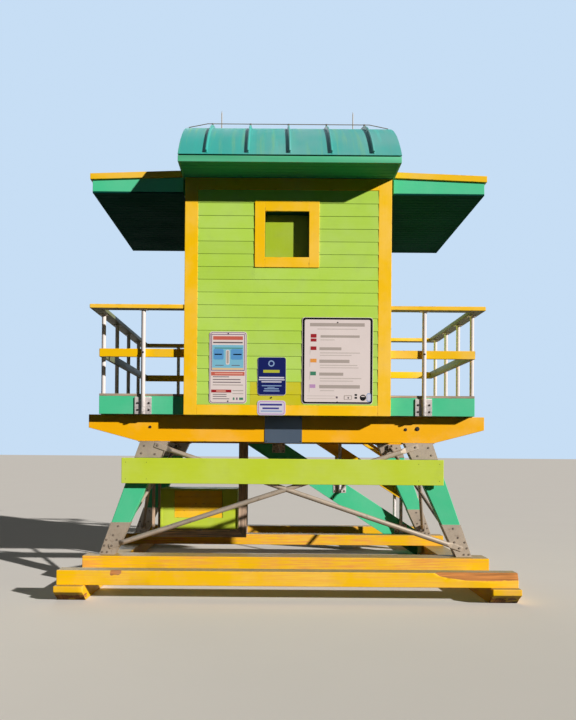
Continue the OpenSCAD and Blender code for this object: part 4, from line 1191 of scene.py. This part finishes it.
class TOWER_OT_signs(bpy.types.Operator):
    """Make the four signs on the front wall, with plain bars and patches for their print"""

    bl_idname = "tower.signs"
    bl_label = "Signs"

    sheet = 0.003
    layer = 0.0005
    corner = 0.034
    inks = {
        "white": (0.89, 0.82, 0.79), "frost": (0.82, 0.80, 0.84), "black": (0.01, 0.01, 0.02),
        "grey": (0.68, 0.62, 0.58), "faint": (0.78, 0.72, 0.68), "dark": (0.40, 0.34, 0.36),
        "red": (0.62, 0.03, 0.08), "salmon": (0.78, 0.36, 0.28), "blush": (0.88, 0.60, 0.52),
        "orange": (0.90, 0.57, 0.18), "green": (0.24, 0.50, 0.38), "lilac": (0.74, 0.56, 0.72),
        "navy": (0.02, 0.08, 0.34), "yellow": (0.72, 0.72, 0.16), "sea": (0.47, 0.72, 0.80),
        "deep": (0.32, 0.58, 0.78), "sand": (0.86, 0.74, 0.55), "plum": (0.42, 0.26, 0.42),
        "pink": (0.76, 0.48, 0.74), "ink": (0.22, 0.20, 0.52), "haze": (0.52, 0.62, 0.76),
    }
    # A place is left, top, width and height, the last two in mm. Each patch is a layer, an ink,
    # its left, top, right and bottom in mm from the sign's upper left corner, and the radius of
    # its corners where they are round
    flag_sign = {
        "place": (0.171, 3.172, 835, 1022),
        "back": "white",
        "patches": (
            (1, "black", 5, 5, 830, 1017, 34), (2, "white", 30, 28, 804, 998, 20),
            (3, "grey", 93, 68, 736, 108), (3, "faint", 182, 134, 649, 144),
            (3, "red", 101, 198, 170, 242), (3, "red", 101, 252, 170, 288),
            (3, "grey", 218, 212, 678, 240), (3, "faint", 218, 262, 382, 272),
            (3, "red", 101, 345, 170, 388), (3, "faint", 93, 345, 99, 440),
            (3, "grey", 206, 354, 464, 388), (3, "faint", 212, 414, 684, 426),
            (3, "faint", 212, 444, 584, 454),
            (3, "orange", 99, 490, 172, 534), (3, "faint", 91, 490, 97, 584),
            (3, "grey", 206, 500, 560, 538), (3, "faint", 212, 560, 654, 572),
            (3, "faint", 212, 590, 666, 600),
            (3, "green", 99, 641, 166, 686), (3, "faint", 91, 641, 97, 736),
            (3, "grey", 206, 652, 488, 688), (3, "faint", 212, 714, 700, 726),
            (3, "faint", 212, 746, 606, 756),
            (3, "lilac", 93, 792, 160, 834), (3, "faint", 85, 792, 91, 886),
            (3, "grey", 206, 798, 684, 838), (3, "faint", 218, 860, 382, 870),
            (3, "faint", 60, 924, 398, 930), (3, "faint", 60, 956, 398, 962),
            (3, "dark", 402, 932, 424, 956), (3, "grey", 496, 918, 592, 970, 8),
            (4, "white", 506, 928, 582, 964), (4, "dark", 540, 940, 556, 956),
            (3, "black", 622, 902, 652, 924, 4), (3, "black", 622, 936, 652, 958, 4),
            (3, "black", 684, 908, 758, 982, 37), (4, "white", 702, 924, 740, 936, 4),
            (3, "haze", 764, 892, 816, 994, 20), (4, "frost", 770, 902, 808, 982, 14),
        ),
        "screws": ((418, 62), (418, 1000)),
    }
    current_sign = {
        "place": (-0.919, 2.994, 442, 846),
        "back": "white",
        "patches": (
            (1, "plum", 7, 8, 435, 838, 36), (2, "white", 13, 14, 429, 832, 32),
            (3, "plum", 22, 30, 416, 461), (4, "white", 30, 38, 408, 453),
            (5, "salmon", 44, 55, 394, 98), (5, "dark", 44, 122, 392, 138),
            (5, "sea", 34, 158, 402, 428), (6, "deep", 50, 204, 168, 330, 20),
            (6, "deep", 254, 204, 390, 330, 20), (6, "haze", 60, 262, 150, 276, 4),
            (6, "haze", 280, 262, 380, 276, 4), (6, "green", 60, 190, 392, 200, 4),
            (6, "white", 194, 216, 238, 390, 16), (7, "grey", 204, 226, 228, 376, 10),
            (6, "dark", 70, 394, 170, 402, 4), (6, "dark", 262, 394, 360, 402, 4),
            (5, "sand", 34, 428, 402, 450),
            (3, "salmon", 22, 474, 416, 519), (4, "blush", 66, 488, 394, 503),
            (3, "dark", 44, 529, 236, 538), (3, "dark", 44, 560, 368, 570),
            (3, "dark", 44, 592, 372, 602), (3, "grey", 44, 624, 400, 634),
            (3, "red", 25, 684, 262, 718), (4, "blush", 84, 693, 196, 709),
            (3, "grey", 276, 690, 404, 700), (3, "grey", 276, 726, 404, 734),
            (3, "dark", 44, 736, 206, 744), (3, "dark", 44, 760, 206, 768),
            (3, "dark", 44, 788, 240, 796), (3, "green", 280, 776, 300, 804, 4),
            (3, "plum", 320, 776, 336, 804, 4), (3, "green", 354, 776, 402, 804, 4),
        ),
        "screws": ((221, 24), (221, 820)),
    }
    navy_sign = {
        "place": (-0.349, 2.697, 334, 450),
        "back": "frost",
        "patches": (
            (1, "navy", 3, 3, 331, 444, 26),
            (2, "haze", 124, 38, 198, 112, 37), (3, "navy", 138, 52, 184, 98, 23),
            (2, "yellow", 66, 151, 258, 184),
            (2, "frost", 18, 233, 312, 250), (2, "frost", 14, 259, 318, 273),
            (2, "frost", 46, 285, 282, 298), (2, "haze", 50, 332, 282, 343),
            (2, "haze", 116, 352, 200, 359), (2, "haze", 80, 367, 250, 379),
            (2, "haze", 70, 392, 258, 404),
        ),
        "screws": ((164, 476),),
    }
    hours_sign = {
        "place": (-0.351, 2.186, 334, 174),
        "back": "frost",
        "patches": (
            (1, "pink", 12, 10, 322, 164, 28), (2, "frost", 20, 18, 314, 156, 22),
            (3, "ink", 32, 38, 292, 60), (3, "ink", 62, 82, 256, 102),
            (3, "haze", 44, 118, 292, 132),
        ),
        "screws": (),
    }

    def patch(self, bm, outline, back, front, ink):
        """A thin upright sheet of one ink: left, low, right, high and corner radius."""
        left, low, right, high, radius = outline
        turns = 8 if radius else 1
        ring = []
        for quarter, (x, z) in enumerate(((right, high), (left, high), (left, low), (right, low))):
            centre = Vector((x, back, z)) - Vector((
                math.copysign(radius, x - left - 0.0001), 0, math.copysign(radius, z - low - 0.0001)
            ))
            for step in range(turns):
                angle = math.radians(90 * (quarter + step / max(1, turns - 1)))
                ring.append(centre + radius * Vector((math.cos(angle), 0, math.sin(angle))))
        first = len(bm.verts)
        prism(bm, ring, Y * (front - back))
        bm.verts.ensure_lookup_table()
        for vert in bm.verts[first:]:
            vert[bm.verts.layers.float_color["print"]] = linear(self.inks[ink])

    def sign(self, bm, screws, design, back, head):
        left, top, wide, high = design["place"]
        mm = 0.001
        face = back - self.sheet
        outline = (left, top - high * mm, left + wide * mm, top, self.corner)
        self.patch(bm, outline, back, face, design["back"])
        for level, ink, x0, y0, x1, y1, *radius in design["patches"]:
            outline = (left + x0 * mm, top - y1 * mm, left + x1 * mm, top - y0 * mm, sum(radius) * mm)
            self.patch(bm, outline, face + self.layer, face - level * self.layer, ink)
        for x, y in design["screws"]:
            bolt(screws, (left + x * mm, face, top - y * mm), -Y, head)

    def execute(self, context):
        bm, screws = bmesh.new(), bmesh.new()
        bm.verts.layers.float_color.new("print")
        butt = WALL_LO.y - context.scene.tower_sizes.lap_butt
        band = min(butt, HUT_LO.y) - self.layer
        head = context.scene.tower_sizes.bolt * 0.5
        for design, back in (
            (self.flag_sign, butt), (self.current_sign, butt), (self.navy_sign, butt),
            (self.hours_sign, band),
        ):
            self.sign(bm, screws, design, back, head)
        make_piece(bm, "wall_signs", "SignPrint")
        make_piece(screws, "sign_screws", "BoltSteel")
        return {"FINISHED"}


def soffit_boards(bm, lo, hi, face, size):
    """Boards along X with open grooves below, and a solid back over them."""
    box(bm, (lo.x, lo.y, lo.z + face), hi)
    for y0, y1 in rows(lo.y, hi.y, size.soffit_board, size.soffit_groove):
        box(bm, (lo.x, y0, lo.z), (hi.x, y1, lo.z + face))


class TOWER_OT_eaves(bpy.types.Operator):
    """Make the grooved soffit and the fascia boards under the roof's edge"""

    bl_idname = "tower.eaves"
    bl_label = "Eaves"

    face = 0.008
    drip_gap = 0.012

    def execute(self, context):
        size = context.scene.tower_sizes
        bm = bmesh.new()
        lo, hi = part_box("soffit")
        soffit_boards(bm, lo, hi, self.face, size)
        make_piece(bm, "soffit_boards", "SoffitPaint", 0.002, ["soffit"], segments=1)
        bm = bmesh.new()
        out_lo, out_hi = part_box("eave_fascia")
        inner_lo = Vector((lo.x, lo.y, out_lo.z))
        inner_hi = Vector((hi.x, hi.y, out_hi.z))
        board_ring(bm, out_lo, out_hi, inner_lo, inner_hi, 2, uprights_first=False)
        for vert in bm.verts:
            if vert.co.z > out_hi.z - 0.001 and not inner_lo.y - 0.001 < vert.co.y < inner_hi.y + 0.001:
                vert.co.z -= self.drip_gap
        make_piece(bm, "fascia_boards", "FasciaPaint", size.rounding, ["eave_fascia"])
        return {"FINISHED"}


def keep_between(bm, way, low, high):
    """Cuts a closed mesh down to a slice, and closes the cuts."""
    for place, sign in ((low, -1), (high, 1)):
        found = cut(bm, way * place, way * sign, clear_outer=True)
        edges = [item for item in found if isinstance(item, bmesh.types.BMEdge)]
        bmesh.ops.edgeloop_fill(bm, edges=edges)


class TOWER_OT_roof(bpy.types.Operator):
    """Make the vaulted roof sheets with their standing seams, gables, ribs, rods and cable"""

    bl_idname = "tower.roof"
    bl_label = "Main roof"

    steps = 72
    gable_board = 0.12
    gable_gap = 0.003
    seam_foot = 0.045
    seam_sunk = 0.004
    flange = 0.056
    clamp_gap = 0.295
    clamp_half = Vector((0.012, 0.011, 0))
    cable = 0.010
    cable_in = 0.02
    cable_past = 0.06
    front_cable = math.radians(23)

    def measure(self):
        """Centre and radius of the vault's outer skin, from its box."""
        lo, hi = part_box("roof_vault")
        half = (hi.y - lo.y) / 2
        rise = hi.z - lo.z
        radius = (half * half + rise * rise) / (2 * rise)
        return Vector((0, (lo.y + hi.y) / 2, hi.z - radius)), radius, lo.z

    def sweep(self, bm, ring, centre, half_angle):
        """Spins an upright outline in X and Z round the vault's axis, and closes its ends."""
        verts = [bm.verts.new(point) for point in ring]
        face = bm.faces.new(verts)
        bmesh.ops.rotate(bm, verts=verts, cent=centre, matrix=Matrix.Rotation(-half_angle, 3, "X"))
        bmesh.ops.spin(
            bm, geom=[face] + face.edges[:] + verts, cent=centre, axis=X,
            angle=2 * half_angle, steps=self.steps, use_merge=False, use_duplicate=False,
        )

    def seams(self, bm, centre, radius, low):
        """Folded standing seams: a flat foot, a thin upright and a rolled top."""
        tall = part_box("roof_seams")[1].z - (centre.z + radius)
        fold = bpy.context.scene.tower_sizes.seam_fold / 2
        angle = math.acos((low + self.seam_foot - centre.z) / (radius + tall))
        skin = centre.z + radius - self.seam_sunk
        for lo, hi in solid_boxes("roof_seams"):
            middle = (lo.x + hi.x) / 2
            half = (hi.x - lo.x) / 2
            right = [
                (half, 0.0), (half, 0.006), (fold, 0.010), (fold, tall - 0.014),
                (fold * 1.5, tall - 0.008), (fold, tall + 0.001),
            ]
            left = [(-x, z) for x, z in reversed(right)]
            outline = left[-1:] + right + [(0, tall + 0.0035)] + left[:-1]
            self.sweep(bm, [(middle + x, centre.y, skin + z) for x, z in outline], centre, angle)

    def rods(self, centre, radius):
        lo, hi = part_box("roof_rods")
        crown = centre.z + radius
        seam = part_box("roof_seams")[1].z - crown
        ends = hi.x - self.flange / 2, lo.x + self.flange / 2
        # Lower and upper end, width, and width at the upper end where it differs
        lengths = (
            (crown, crown + 0.012, self.flange, None), (crown + 0.012, crown + 0.03, 0.034, 0.018),
            (crown + 0.02, hi.z - 0.045, 0.014, None), (hi.z - 0.045, hi.z, 0.014, 0.001),
        )
        bm = bmesh.new()
        for x in ends:
            for low, high, wide, tip in lengths:
                rod(bm, (x, centre.y, low), (x, centre.y, high), wide, tip=tip)
        middle = crown + seam + self.cable / 2
        rod(bm, (ends[1], centre.y, middle), (ends[0], centre.y, middle), self.cable, 12)
        for i in range(-2, 3):
            clamp = Vector((i * self.clamp_gap, centre.y, 0))
            low, high = clamp - self.clamp_half, clamp + self.clamp_half
            box(bm, low + Z * (crown - 0.001), high + Z * (middle + 0.008))
        make_piece(bm, "rods_and_cable", "DullSteel", 0.0, ["roof_rods"])
        self.cable_over_seams(centre, radius + seam)

    def cable_over_seams(self, centre, reach):
        """A cable clamped across the seams before the crown, bent down to the sheet at its ends."""
        lo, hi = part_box("roof_vault")
        turn = Matrix.Rotation(self.front_cable, 3, "X")

        def at(x, up):
            return turn @ Vector((x, 0, up)) + Vector((0, centre.y, centre.z))

        seams = [(a.x + b.x) / 2 for a, b in solid_boxes("roof_seams")]
        low = reach - (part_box("roof_seams")[1].z - hi.z) + self.cable / 2
        top = reach + self.cable
        past = self.cable_past
        path = [
            at(lo.x + self.cable_in, low), at(min(seams) - past, top),
            at(max(seams) + past, top), at(hi.x - self.cable_in, low),
        ]
        bm = bmesh.new()
        for start, end in zip(path, path[1:]):
            rod(bm, start, end, self.cable, 12)
        for x in seams:
            rod(bm, at(x, reach - 0.016), at(x, top + 0.007), 0.022, 8)
        make_piece(bm, "seam_cable", "StudSteel")

    def execute(self, context):
        centre, radius, low = self.measure()
        dress(["roof_vault"], "roof_sheets", "RoofCoat", 0.002)
        bm = bmesh.new()
        self.seams(bm, centre, radius, low)
        make_piece(bm, "standing_seams", "RoofCoat", replaces=["roof_seams"])
        bm = bmesh.new()
        lo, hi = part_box("gables")
        for z0, z1 in rows(lo.z, hi.z, self.gable_board, self.gable_gap):
            part = frame_mesh("gables")
            keep_between(part, Z, z0, z1)
            add_mesh(bm, part)
        make_piece(bm, "gable_boards", "GreenPaint", 0.002, ["gables"], segments=1)
        dress(["roof_ribs"], "arched_ribs", "BareTimber", 0.003)
        self.rods(centre, radius)
        return {"FINISHED"}


class TOWER_OT_wings(bpy.types.Operator):
    """Make the two wing roofs: fascias, boarded soffits, ledgers and yellow edges"""

    bl_idname = "tower.wings"
    bl_label = "Wing roofs"

    board = 0.038
    soffit = 0.018
    cap = 0.072
    top_board = 0.145
    top_gap = 0.003
    top_drop = 0.004
    ledger_drop = 0.003

    def sloping_board(self, bm, span, depth, under, over):
        """A board between two places along X and two along Y, whose heights follow X."""
        x0, x1 = span
        y0, y1 = depth
        outline = [(x0, under(x0)), (x1, under(x1)), (x1, over(x1)), (x0, over(x0))]
        prism(bm, [(x, y0, z) for x, z in outline], Y * (y1 - y0))

    def execute(self, context):
        size = context.scene.tower_sizes
        cap_lo, cap_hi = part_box("wing_cap_right")
        lo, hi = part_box("wing_right")
        inner, outer = cap_lo.x, hi.x
        cap_outer = cap_hi.x
        cap, thick = self.cap, self.board
        top_in = cap_hi.z - cap
        fall = (top_in - cap_lo.z) / (cap_outer - inner)
        level = lo.z + self.soffit
        corner = corner_width()

        def soffit_top(x):
            return level

        def top(x):
            return top_in - fall * (x - inner)

        def cap_top(x):
            return top(x) + cap

        def boards_top(x):
            return cap_top(x) - self.top_drop

        fascia, soffit, caps = bmesh.new(), bmesh.new(), bmesh.new()
        for depth in ((lo.y, lo.y + thick), (hi.y - thick, hi.y)):
            self.sloping_board(fascia, (inner, outer), depth, soffit_top, top)
        between = lo.y + thick, hi.y - thick
        for span in ((outer - thick, outer), (inner, inner + thick)):
            self.sloping_board(fascia, span, between, soffit_top, top)
        ledger_lo = (lo.x, HUT_LO.y + corner, lo.z)
        box(fascia, ledger_lo, (inner, HUT_HI.y - corner, HUT_HI.z - self.ledger_drop))
        soffit_lo, soffit_hi = Vector((inner, lo.y, lo.z)), Vector((outer, hi.y, level))
        soffit_boards(soffit, soffit_lo, soffit_hi, self.soffit / 2, size)
        between = cap_lo.y + thick, cap_hi.y - thick
        for depth in rows(*between, self.top_board, self.top_gap):
            self.sloping_board(caps, (inner, cap_outer - thick), depth, top, boards_top)
        for span, depth in (
            ((inner, cap_outer), (cap_lo.y, cap_lo.y + thick)),
            ((inner, cap_outer), (cap_hi.y - thick, cap_hi.y)),
            ((cap_outer - thick, cap_outer), between),
        ):
            self.sloping_board(caps, span, depth, top, cap_top)
        for bm in (fascia, soffit, caps):
            copies = bmesh.ops.duplicate(bm, geom=everything(bm))["geom"]
            verts = [item for item in copies if isinstance(item, bmesh.types.BMVert)]
            bmesh.ops.scale(bm, verts=verts, vec=(-1, 1, 1))
        make_piece(fascia, "wing_fascias", "GreenPaint", size.rounding, ["wing_left", "wing_right"])
        # The soffits' dark paint is partly painted shade under the wings
        make_piece(soffit, "wing_soffits", "WingSoffitPaint", 0.002, segments=1)
        make_piece(caps, "wing_tops", "YellowPaint", size.rounding, ["wing_cap_left", "wing_cap_right"])
        return {"FINISHED"}


MITRE_GAP = 0.001


def mitred_run(bm, points, wide, low, high):
    """Boards laid along a path of level points, mitred where it turns a square corner."""
    points = [Vector((*point, 0)) for point in points]
    ways = [(end - start).normalized() for start, end in zip(points, points[1:])]
    for i, way in enumerate(ways):
        across = way.cross(Z)
        before = ways[i - 1] if i else Vector()
        after = ways[i + 1] if i + 1 < len(ways) else Vector()
        ring = []
        for side in (1, -1):
            offset = across * side * wide / 2
            first = points[i] + offset + way * (MITRE_GAP - offset.dot(before))
            last = points[i + 1] + offset - way * (MITRE_GAP + offset.dot(after))
            ring.extend((first, last) if side > 0 else (last, first))
        prism(bm, [(point.x, point.y, low) for point in ring], Z * (high - low))


class TOWER_OT_rails(bpy.types.Operator):
    """Make the posts, rail caps and mid rails round the deck"""

    bl_idname = "tower.rails"
    bl_label = "Deck rails"

    cap_wide = 0.140
    rail_thick = 0.040
    plate_half = 0.100
    plate_thick = 0.017
    bolt_aside = 0.067
    bolt_rise = 0.041
    bolt_drop = 0.0185
    mid_bolt_out = 0.054

    def run(self, node, side, rear_x, wide):
        """A rail's middle line at the front, side and back, its width and its two heights."""
        lo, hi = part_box(node)
        out = (hi.x if side > 0 else lo.x) - side * wide / 2
        front, back = lo.y + wide / 2, hi.y - wide / 2
        return [(side * HUT_HI.x, front), (out, front), (out, back), (rear_x, back)], wide, lo.z, hi.z

    def execute(self, context):
        size = context.scene.tower_sizes
        landing_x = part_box("landing_boards")[1].x
        caps, mids = bmesh.new(), bmesh.new()
        for name, side, rear_x in (("left", -1, landing_x), ("right", 1, HUT_HI.x)):
            mitred_run(caps, *self.run("rail_cap_" + name, side, rear_x, self.cap_wide))
            mitred_run(mids, *self.run("mid_rails_" + name, side, rear_x, self.rail_thick))
        make_piece(caps, "rail_caps", "RailPaint", 0.006, ["rail_cap_left", "rail_cap_right"])
        make_piece(
            mids, "mid_rail_boards", "RailPaint", size.rounding,
            ["mid_rails_left", "mid_rails_right"],
        )
        dress(["posts_left", "posts_right"], "rail_posts", "PostPaint", 0.001)
        bolts, plates = bmesh.new(), bmesh.new()
        for node in ("posts_left", "posts_right"):
            for lo, hi in solid_boxes(node):
                self.plate(bolts, plates, lo, hi, size.bolt * 0.75)
        make_piece(plates, "post_plates", "PlatePaint", 0.001)
        make_piece(bolts, "post_bolts", "BoltSteel")
        return {"FINISHED"}

    def plate(self, bolts, plates, lo, hi, width):
        """A post's plate with four bolts, and one bolt through the mid rail."""
        mid_lo, mid_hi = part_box("mid_rails_right")
        mid_z = (mid_lo.z + mid_hi.z) / 2
        bolt_z = DECK_LO.z + (DECK_HI.z - DECK_LO.z) / 2 - self.bolt_drop
        middle = Vector(((lo.x + hi.x) / 2, (lo.y + hi.y) / 2, 0))
        if lo.y < DECK_LO.y - 0.01:
            way, wall = -Y, Vector((middle.x, DECK_LO.y, 0))
        elif hi.y > DECK_HI.y + 0.01:
            way, wall = Y, Vector((middle.x, DECK_HI.y, 0))
        elif hi.y > HUT_HI.y + 0.02 and lo.x > 0:
            way, wall = Y, Vector((middle.x, HUT_HI.y, 0))
        else:
            side = math.copysign(1, middle.x)
            way, wall = X * side, Vector((side * DECK_HI.x, middle.y, 0))
        along = way.cross(Z)
        face = wall + way * self.plate_thick
        aside = along * self.plate_half
        box_between(plates, wall - aside + Z * lo.z, face + aside + Z * (lo.z + 2 * self.plate_half))
        for a in (-self.bolt_aside, self.bolt_aside):
            for rise in (-self.bolt_rise, self.bolt_rise):
                bolt(bolts, face + along * a + Z * (bolt_z + rise), way, width)
        bolt(bolts, wall + way * self.mid_bolt_out + Z * mid_z, way, width * 0.9)


class TOWER_OT_stair(bpy.types.Operator):
    """Make the stair with its stringers, treads, posts and sloping rails"""

    bl_idname = "tower.stair"
    bl_label = "Stair"

    plate_thick = 0.006
    bolt_aside = 0.072
    bolt_rises = (0.028, 0.125)

    def execute(self, context):
        size = context.scene.tower_sizes
        dress(["stringers"], "stair_stringers", "GreenPaint", size.rounding)
        dress(["treads"], "stair_treads", "BareTimber", size.rounding)
        dress(["stair_posts"], "stair_tubes", "PostPaint", 0.001)
        dress(["stair_rails"], "stair_rail_boards", "YellowPaint", 0.005)
        lo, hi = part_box("stringers")
        bolts = bmesh.new()
        for post_lo, post_hi in solid_boxes("stair_posts"):
            x = (post_lo.x + post_hi.x) / 2
            near = post_lo.y < (lo.y + hi.y) / 2
            way = -Y if near else Y
            face = (lo.y if near else hi.y) + way.y * self.plate_thick
            places = x - self.bolt_aside, x + self.bolt_aside
            heights = [post_lo.z + rise for rise in self.bolt_rises]
            bolts_at(bolts, places, face, heights, way, size.bolt * 0.85)
        make_piece(bolts, "stair_bolts", "StudSteel")
        return {"FINISHED"}


class TOWER_OT_locker(bpy.types.Operator):
    """Make the hung cradle and the boarded locker that stands in it"""

    bl_idname = "tower.locker"
    bl_label = "Locker"

    trim = 0.026
    trim_proud = 0.005
    panel_board = 0.0965
    panel_gap = 0.009
    board_gap = 0.003
    panel_groove = 0.008
    thick = 0.038
    hanger = 0.114
    rail = 0.092
    slat = 0.022
    slat_in = 0.060

    def cradle(self, bm):
        """Two frames of boards, mitred at one lower corner, and the slats between them."""
        lo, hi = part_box("locker_frame")
        locker_lo, locker_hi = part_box("locker")
        rail_top = lo.z + self.rail
        inner = hi.x - self.hanger
        post_x = lo.x + self.thick
        for y in (lo.y, hi.y - self.thick):
            foot = [(lo.x, lo.z), (hi.x, lo.z), (inner, rail_top), (lo.x, rail_top)]
            hanger = [(hi.x, lo.z), (hi.x, hi.z), (inner, hi.z), (inner, rail_top)]
            post = [(lo.x, rail_top), (post_x, rail_top), (post_x, hi.z), (lo.x, hi.z)]
            for outline in (foot, hanger, post):
                prism(bm, [(x, y, z) for x, z in outline], Y * self.thick)
            box(bm, (post_x, y, hi.z - self.rail), (inner, y + self.thick, hi.z))
        middle = (locker_lo.x + locker_hi.x) / 2
        for x in (locker_lo.x + self.slat_in, middle, locker_hi.x - self.slat_in):
            half = self.rail / 2
            box(bm, (x - half, lo.y, rail_top), (x + half, hi.y, rail_top + self.slat))

    def execute(self, context):
        size = context.scene.tower_sizes
        bm = bmesh.new()
        self.cradle(bm)
        make_piece(bm, "cradle_timbers", "NewTimber", size.rounding, ["locker_frame"])
        dress(["locker"], "locker_box", "BoardPaint", size.rounding)
        lo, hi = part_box("locker")
        inset = Vector((self.trim, 0, self.trim))
        front = Vector((hi.x, lo.y, hi.z))
        proud = Vector((lo.x, lo.y - self.trim_proud, lo.z))
        bm = bmesh.new()
        board_ring(bm, proud, front, proud + inset, front - inset, 1)
        make_piece(bm, "locker_edges", "BoardPaint", 0.0015)
        lo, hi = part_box("locker_panel")
        right = hi.x - self.panel_gap
        bm = bmesh.new()
        for z0, z1 in rows(lo.z, hi.z, self.panel_board, self.board_gap):
            box(bm, (lo.x, lo.y, z0), (right, hi.y - 0.002, z1))
        back_lo = (lo.x + 0.001, lo.y + self.panel_groove, lo.z + 0.001)
        box(bm, back_lo, (right - 0.001, hi.y, hi.z - 0.001))
        make_piece(bm, "locker_boards", "YellowPaint", 0.003, ["locker_panel"])
        return {"FINISHED"}


class TOWER_OT_stage(bpy.types.Operator):
    """Make the floor, the light and the camera"""

    bl_idname = "tower.stage"
    bl_label = "Stage"

    floor_half = 150.0
    sun_way = (-1.28, 1.0, -0.62)
    sun_spread = 1.2
    fill_way = (0.2, -0.85, -0.5)
    back_fill = 0.40
    fill_spread = 30

    def stage_floor(self, stage):
        bm = bmesh.new()
        box(bm, (-self.floor_half, -self.floor_half, -0.02), (self.floor_half, self.floor_half, 0))
        mesh = bpy.data.meshes.new("floor")
        bm.to_mesh(mesh)
        bm.free()
        f = Finish("StageFloor")
        clouds = f.noise(f.place, 0.8, 5.0, 0.6)
        pale = f.shade(linear(stage.floor), f.line(clouds, 0.04, 0.98))
        f.set(Base_Color=f.mix(f.seen(), linear(stage.bounce), pale), Roughness=0.9, Specular_IOR_Level=0.0)
        mesh.materials.append(f.material)
        floor = bpy.data.objects.new("floor", mesh)
        bpy.context.scene.collection.objects.link(floor)

    def sun(self, name, travel, strength, spread):
        light = bpy.data.lights.new(name, "SUN")
        light.energy = strength
        light.angle = math.radians(spread)
        lamp = bpy.data.objects.new(name, light)
        lamp.rotation_euler = Vector(travel).to_track_quat("-Z", "Y").to_euler()
        bpy.context.scene.collection.objects.link(lamp)

    def sky(self, stage):
        world = bpy.data.worlds.new("Sky")
        world.use_nodes = True
        nodes = Nodes(world.node_tree)
        light = nodes.tree.nodes["Background"]
        back = nodes.node("ShaderNodeBackground")
        for background, shown, strength in ((light, stage.sky, stage.fill), (back, stage.back, 1.0)):
            background.inputs["Color"].default_value = linear(shown)
            background.inputs["Strength"].default_value = strength
        mix = nodes.node("ShaderNodeMixShader")
        for socket, value in zip(mix.inputs, (nodes.seen(), light.outputs[0], back.outputs[0])):
            nodes.put(socket, value)
        nodes.put(nodes.tree.nodes["World Output"].inputs["Surface"], mix.outputs[0])
        bpy.context.scene.world = world

    def camera(self, stage):
        data = bpy.data.cameras.new("Camera")
        data.lens = stage.lens
        data.shift_x = stage.aside
        data.shift_y = stage.rise
        data.clip_end = 900.0
        camera = bpy.data.objects.new("Camera", data)
        camera.matrix_world = (
            Matrix.Translation(stage.camera)
            @ Matrix.Rotation(math.radians(90) + stage.pitch, 4, "X")
            @ Matrix.Rotation(stage.roll, 4, "Z")
        )
        bpy.context.scene.collection.objects.link(camera)
        bpy.context.scene.camera = camera

    def execute(self, context):
        stage = context.scene.tower_stage
        context.scene.view_settings.view_transform = "Standard"
        self.stage_floor(stage)
        self.sun("Key", self.sun_way, stage.key, self.sun_spread)
        self.sun("BackFill", self.fill_way, self.back_fill, self.fill_spread)
        self.sky(stage)
        self.camera(stage)
        return {"FINISHED"}


OPERATORS = (
    TOWER_OT_stage, TOWER_OT_skid, TOWER_OT_legs, TOWER_OT_braces, TOWER_OT_boards_in_front,
    TOWER_OT_deck, TOWER_OT_siding, TOWER_OT_trim, TOWER_OT_signs, TOWER_OT_eaves,
    TOWER_OT_roof, TOWER_OT_wings, TOWER_OT_rails, TOWER_OT_stair, TOWER_OT_locker,
)


class TOWER_PT_panel(bpy.types.Panel):
    """The tower's pieces, sizes and colours in the sidebar."""

    bl_idname = "TOWER_PT_panel"
    bl_label = "Lifeguard tower"
    bl_space_type = "VIEW_3D"
    bl_region_type = "UI"
    bl_category = "Tower"

    def draw(self, context):
        layout = self.layout
        scene = context.scene
        for title, group in (
            ("Sizes", scene.tower_sizes), ("Colours", scene.tower_colours), ("Stage", scene.tower_stage),
        ):
            layout.label(text=title)
            for name in group.__annotations__:
                layout.prop(group, name)
        layout.label(text="Pieces")
        for operator in OPERATORS:
            layout.operator(operator.bl_idname)


CLASSES = (TowerSizes, TowerColours, TowerStage, *OPERATORS, TOWER_PT_panel)


def register():
    for cls in CLASSES:
        bpy.utils.register_class(cls)
    bpy.types.Scene.tower_sizes = PointerProperty(type=TowerSizes)
    bpy.types.Scene.tower_colours = PointerProperty(type=TowerColours)
    bpy.types.Scene.tower_stage = PointerProperty(type=TowerStage)


def unregister():
    del bpy.types.Scene.tower_stage
    del bpy.types.Scene.tower_colours
    del bpy.types.Scene.tower_sizes
    for cls in reversed(CLASSES):
        bpy.utils.unregister_class(cls)


def main():
    register()
    for operator in OPERATORS:
        group, name = operator.bl_idname.split(".")
        getattr(getattr(bpy.ops, group), name)()


if __name__ == "__main__":
    main()
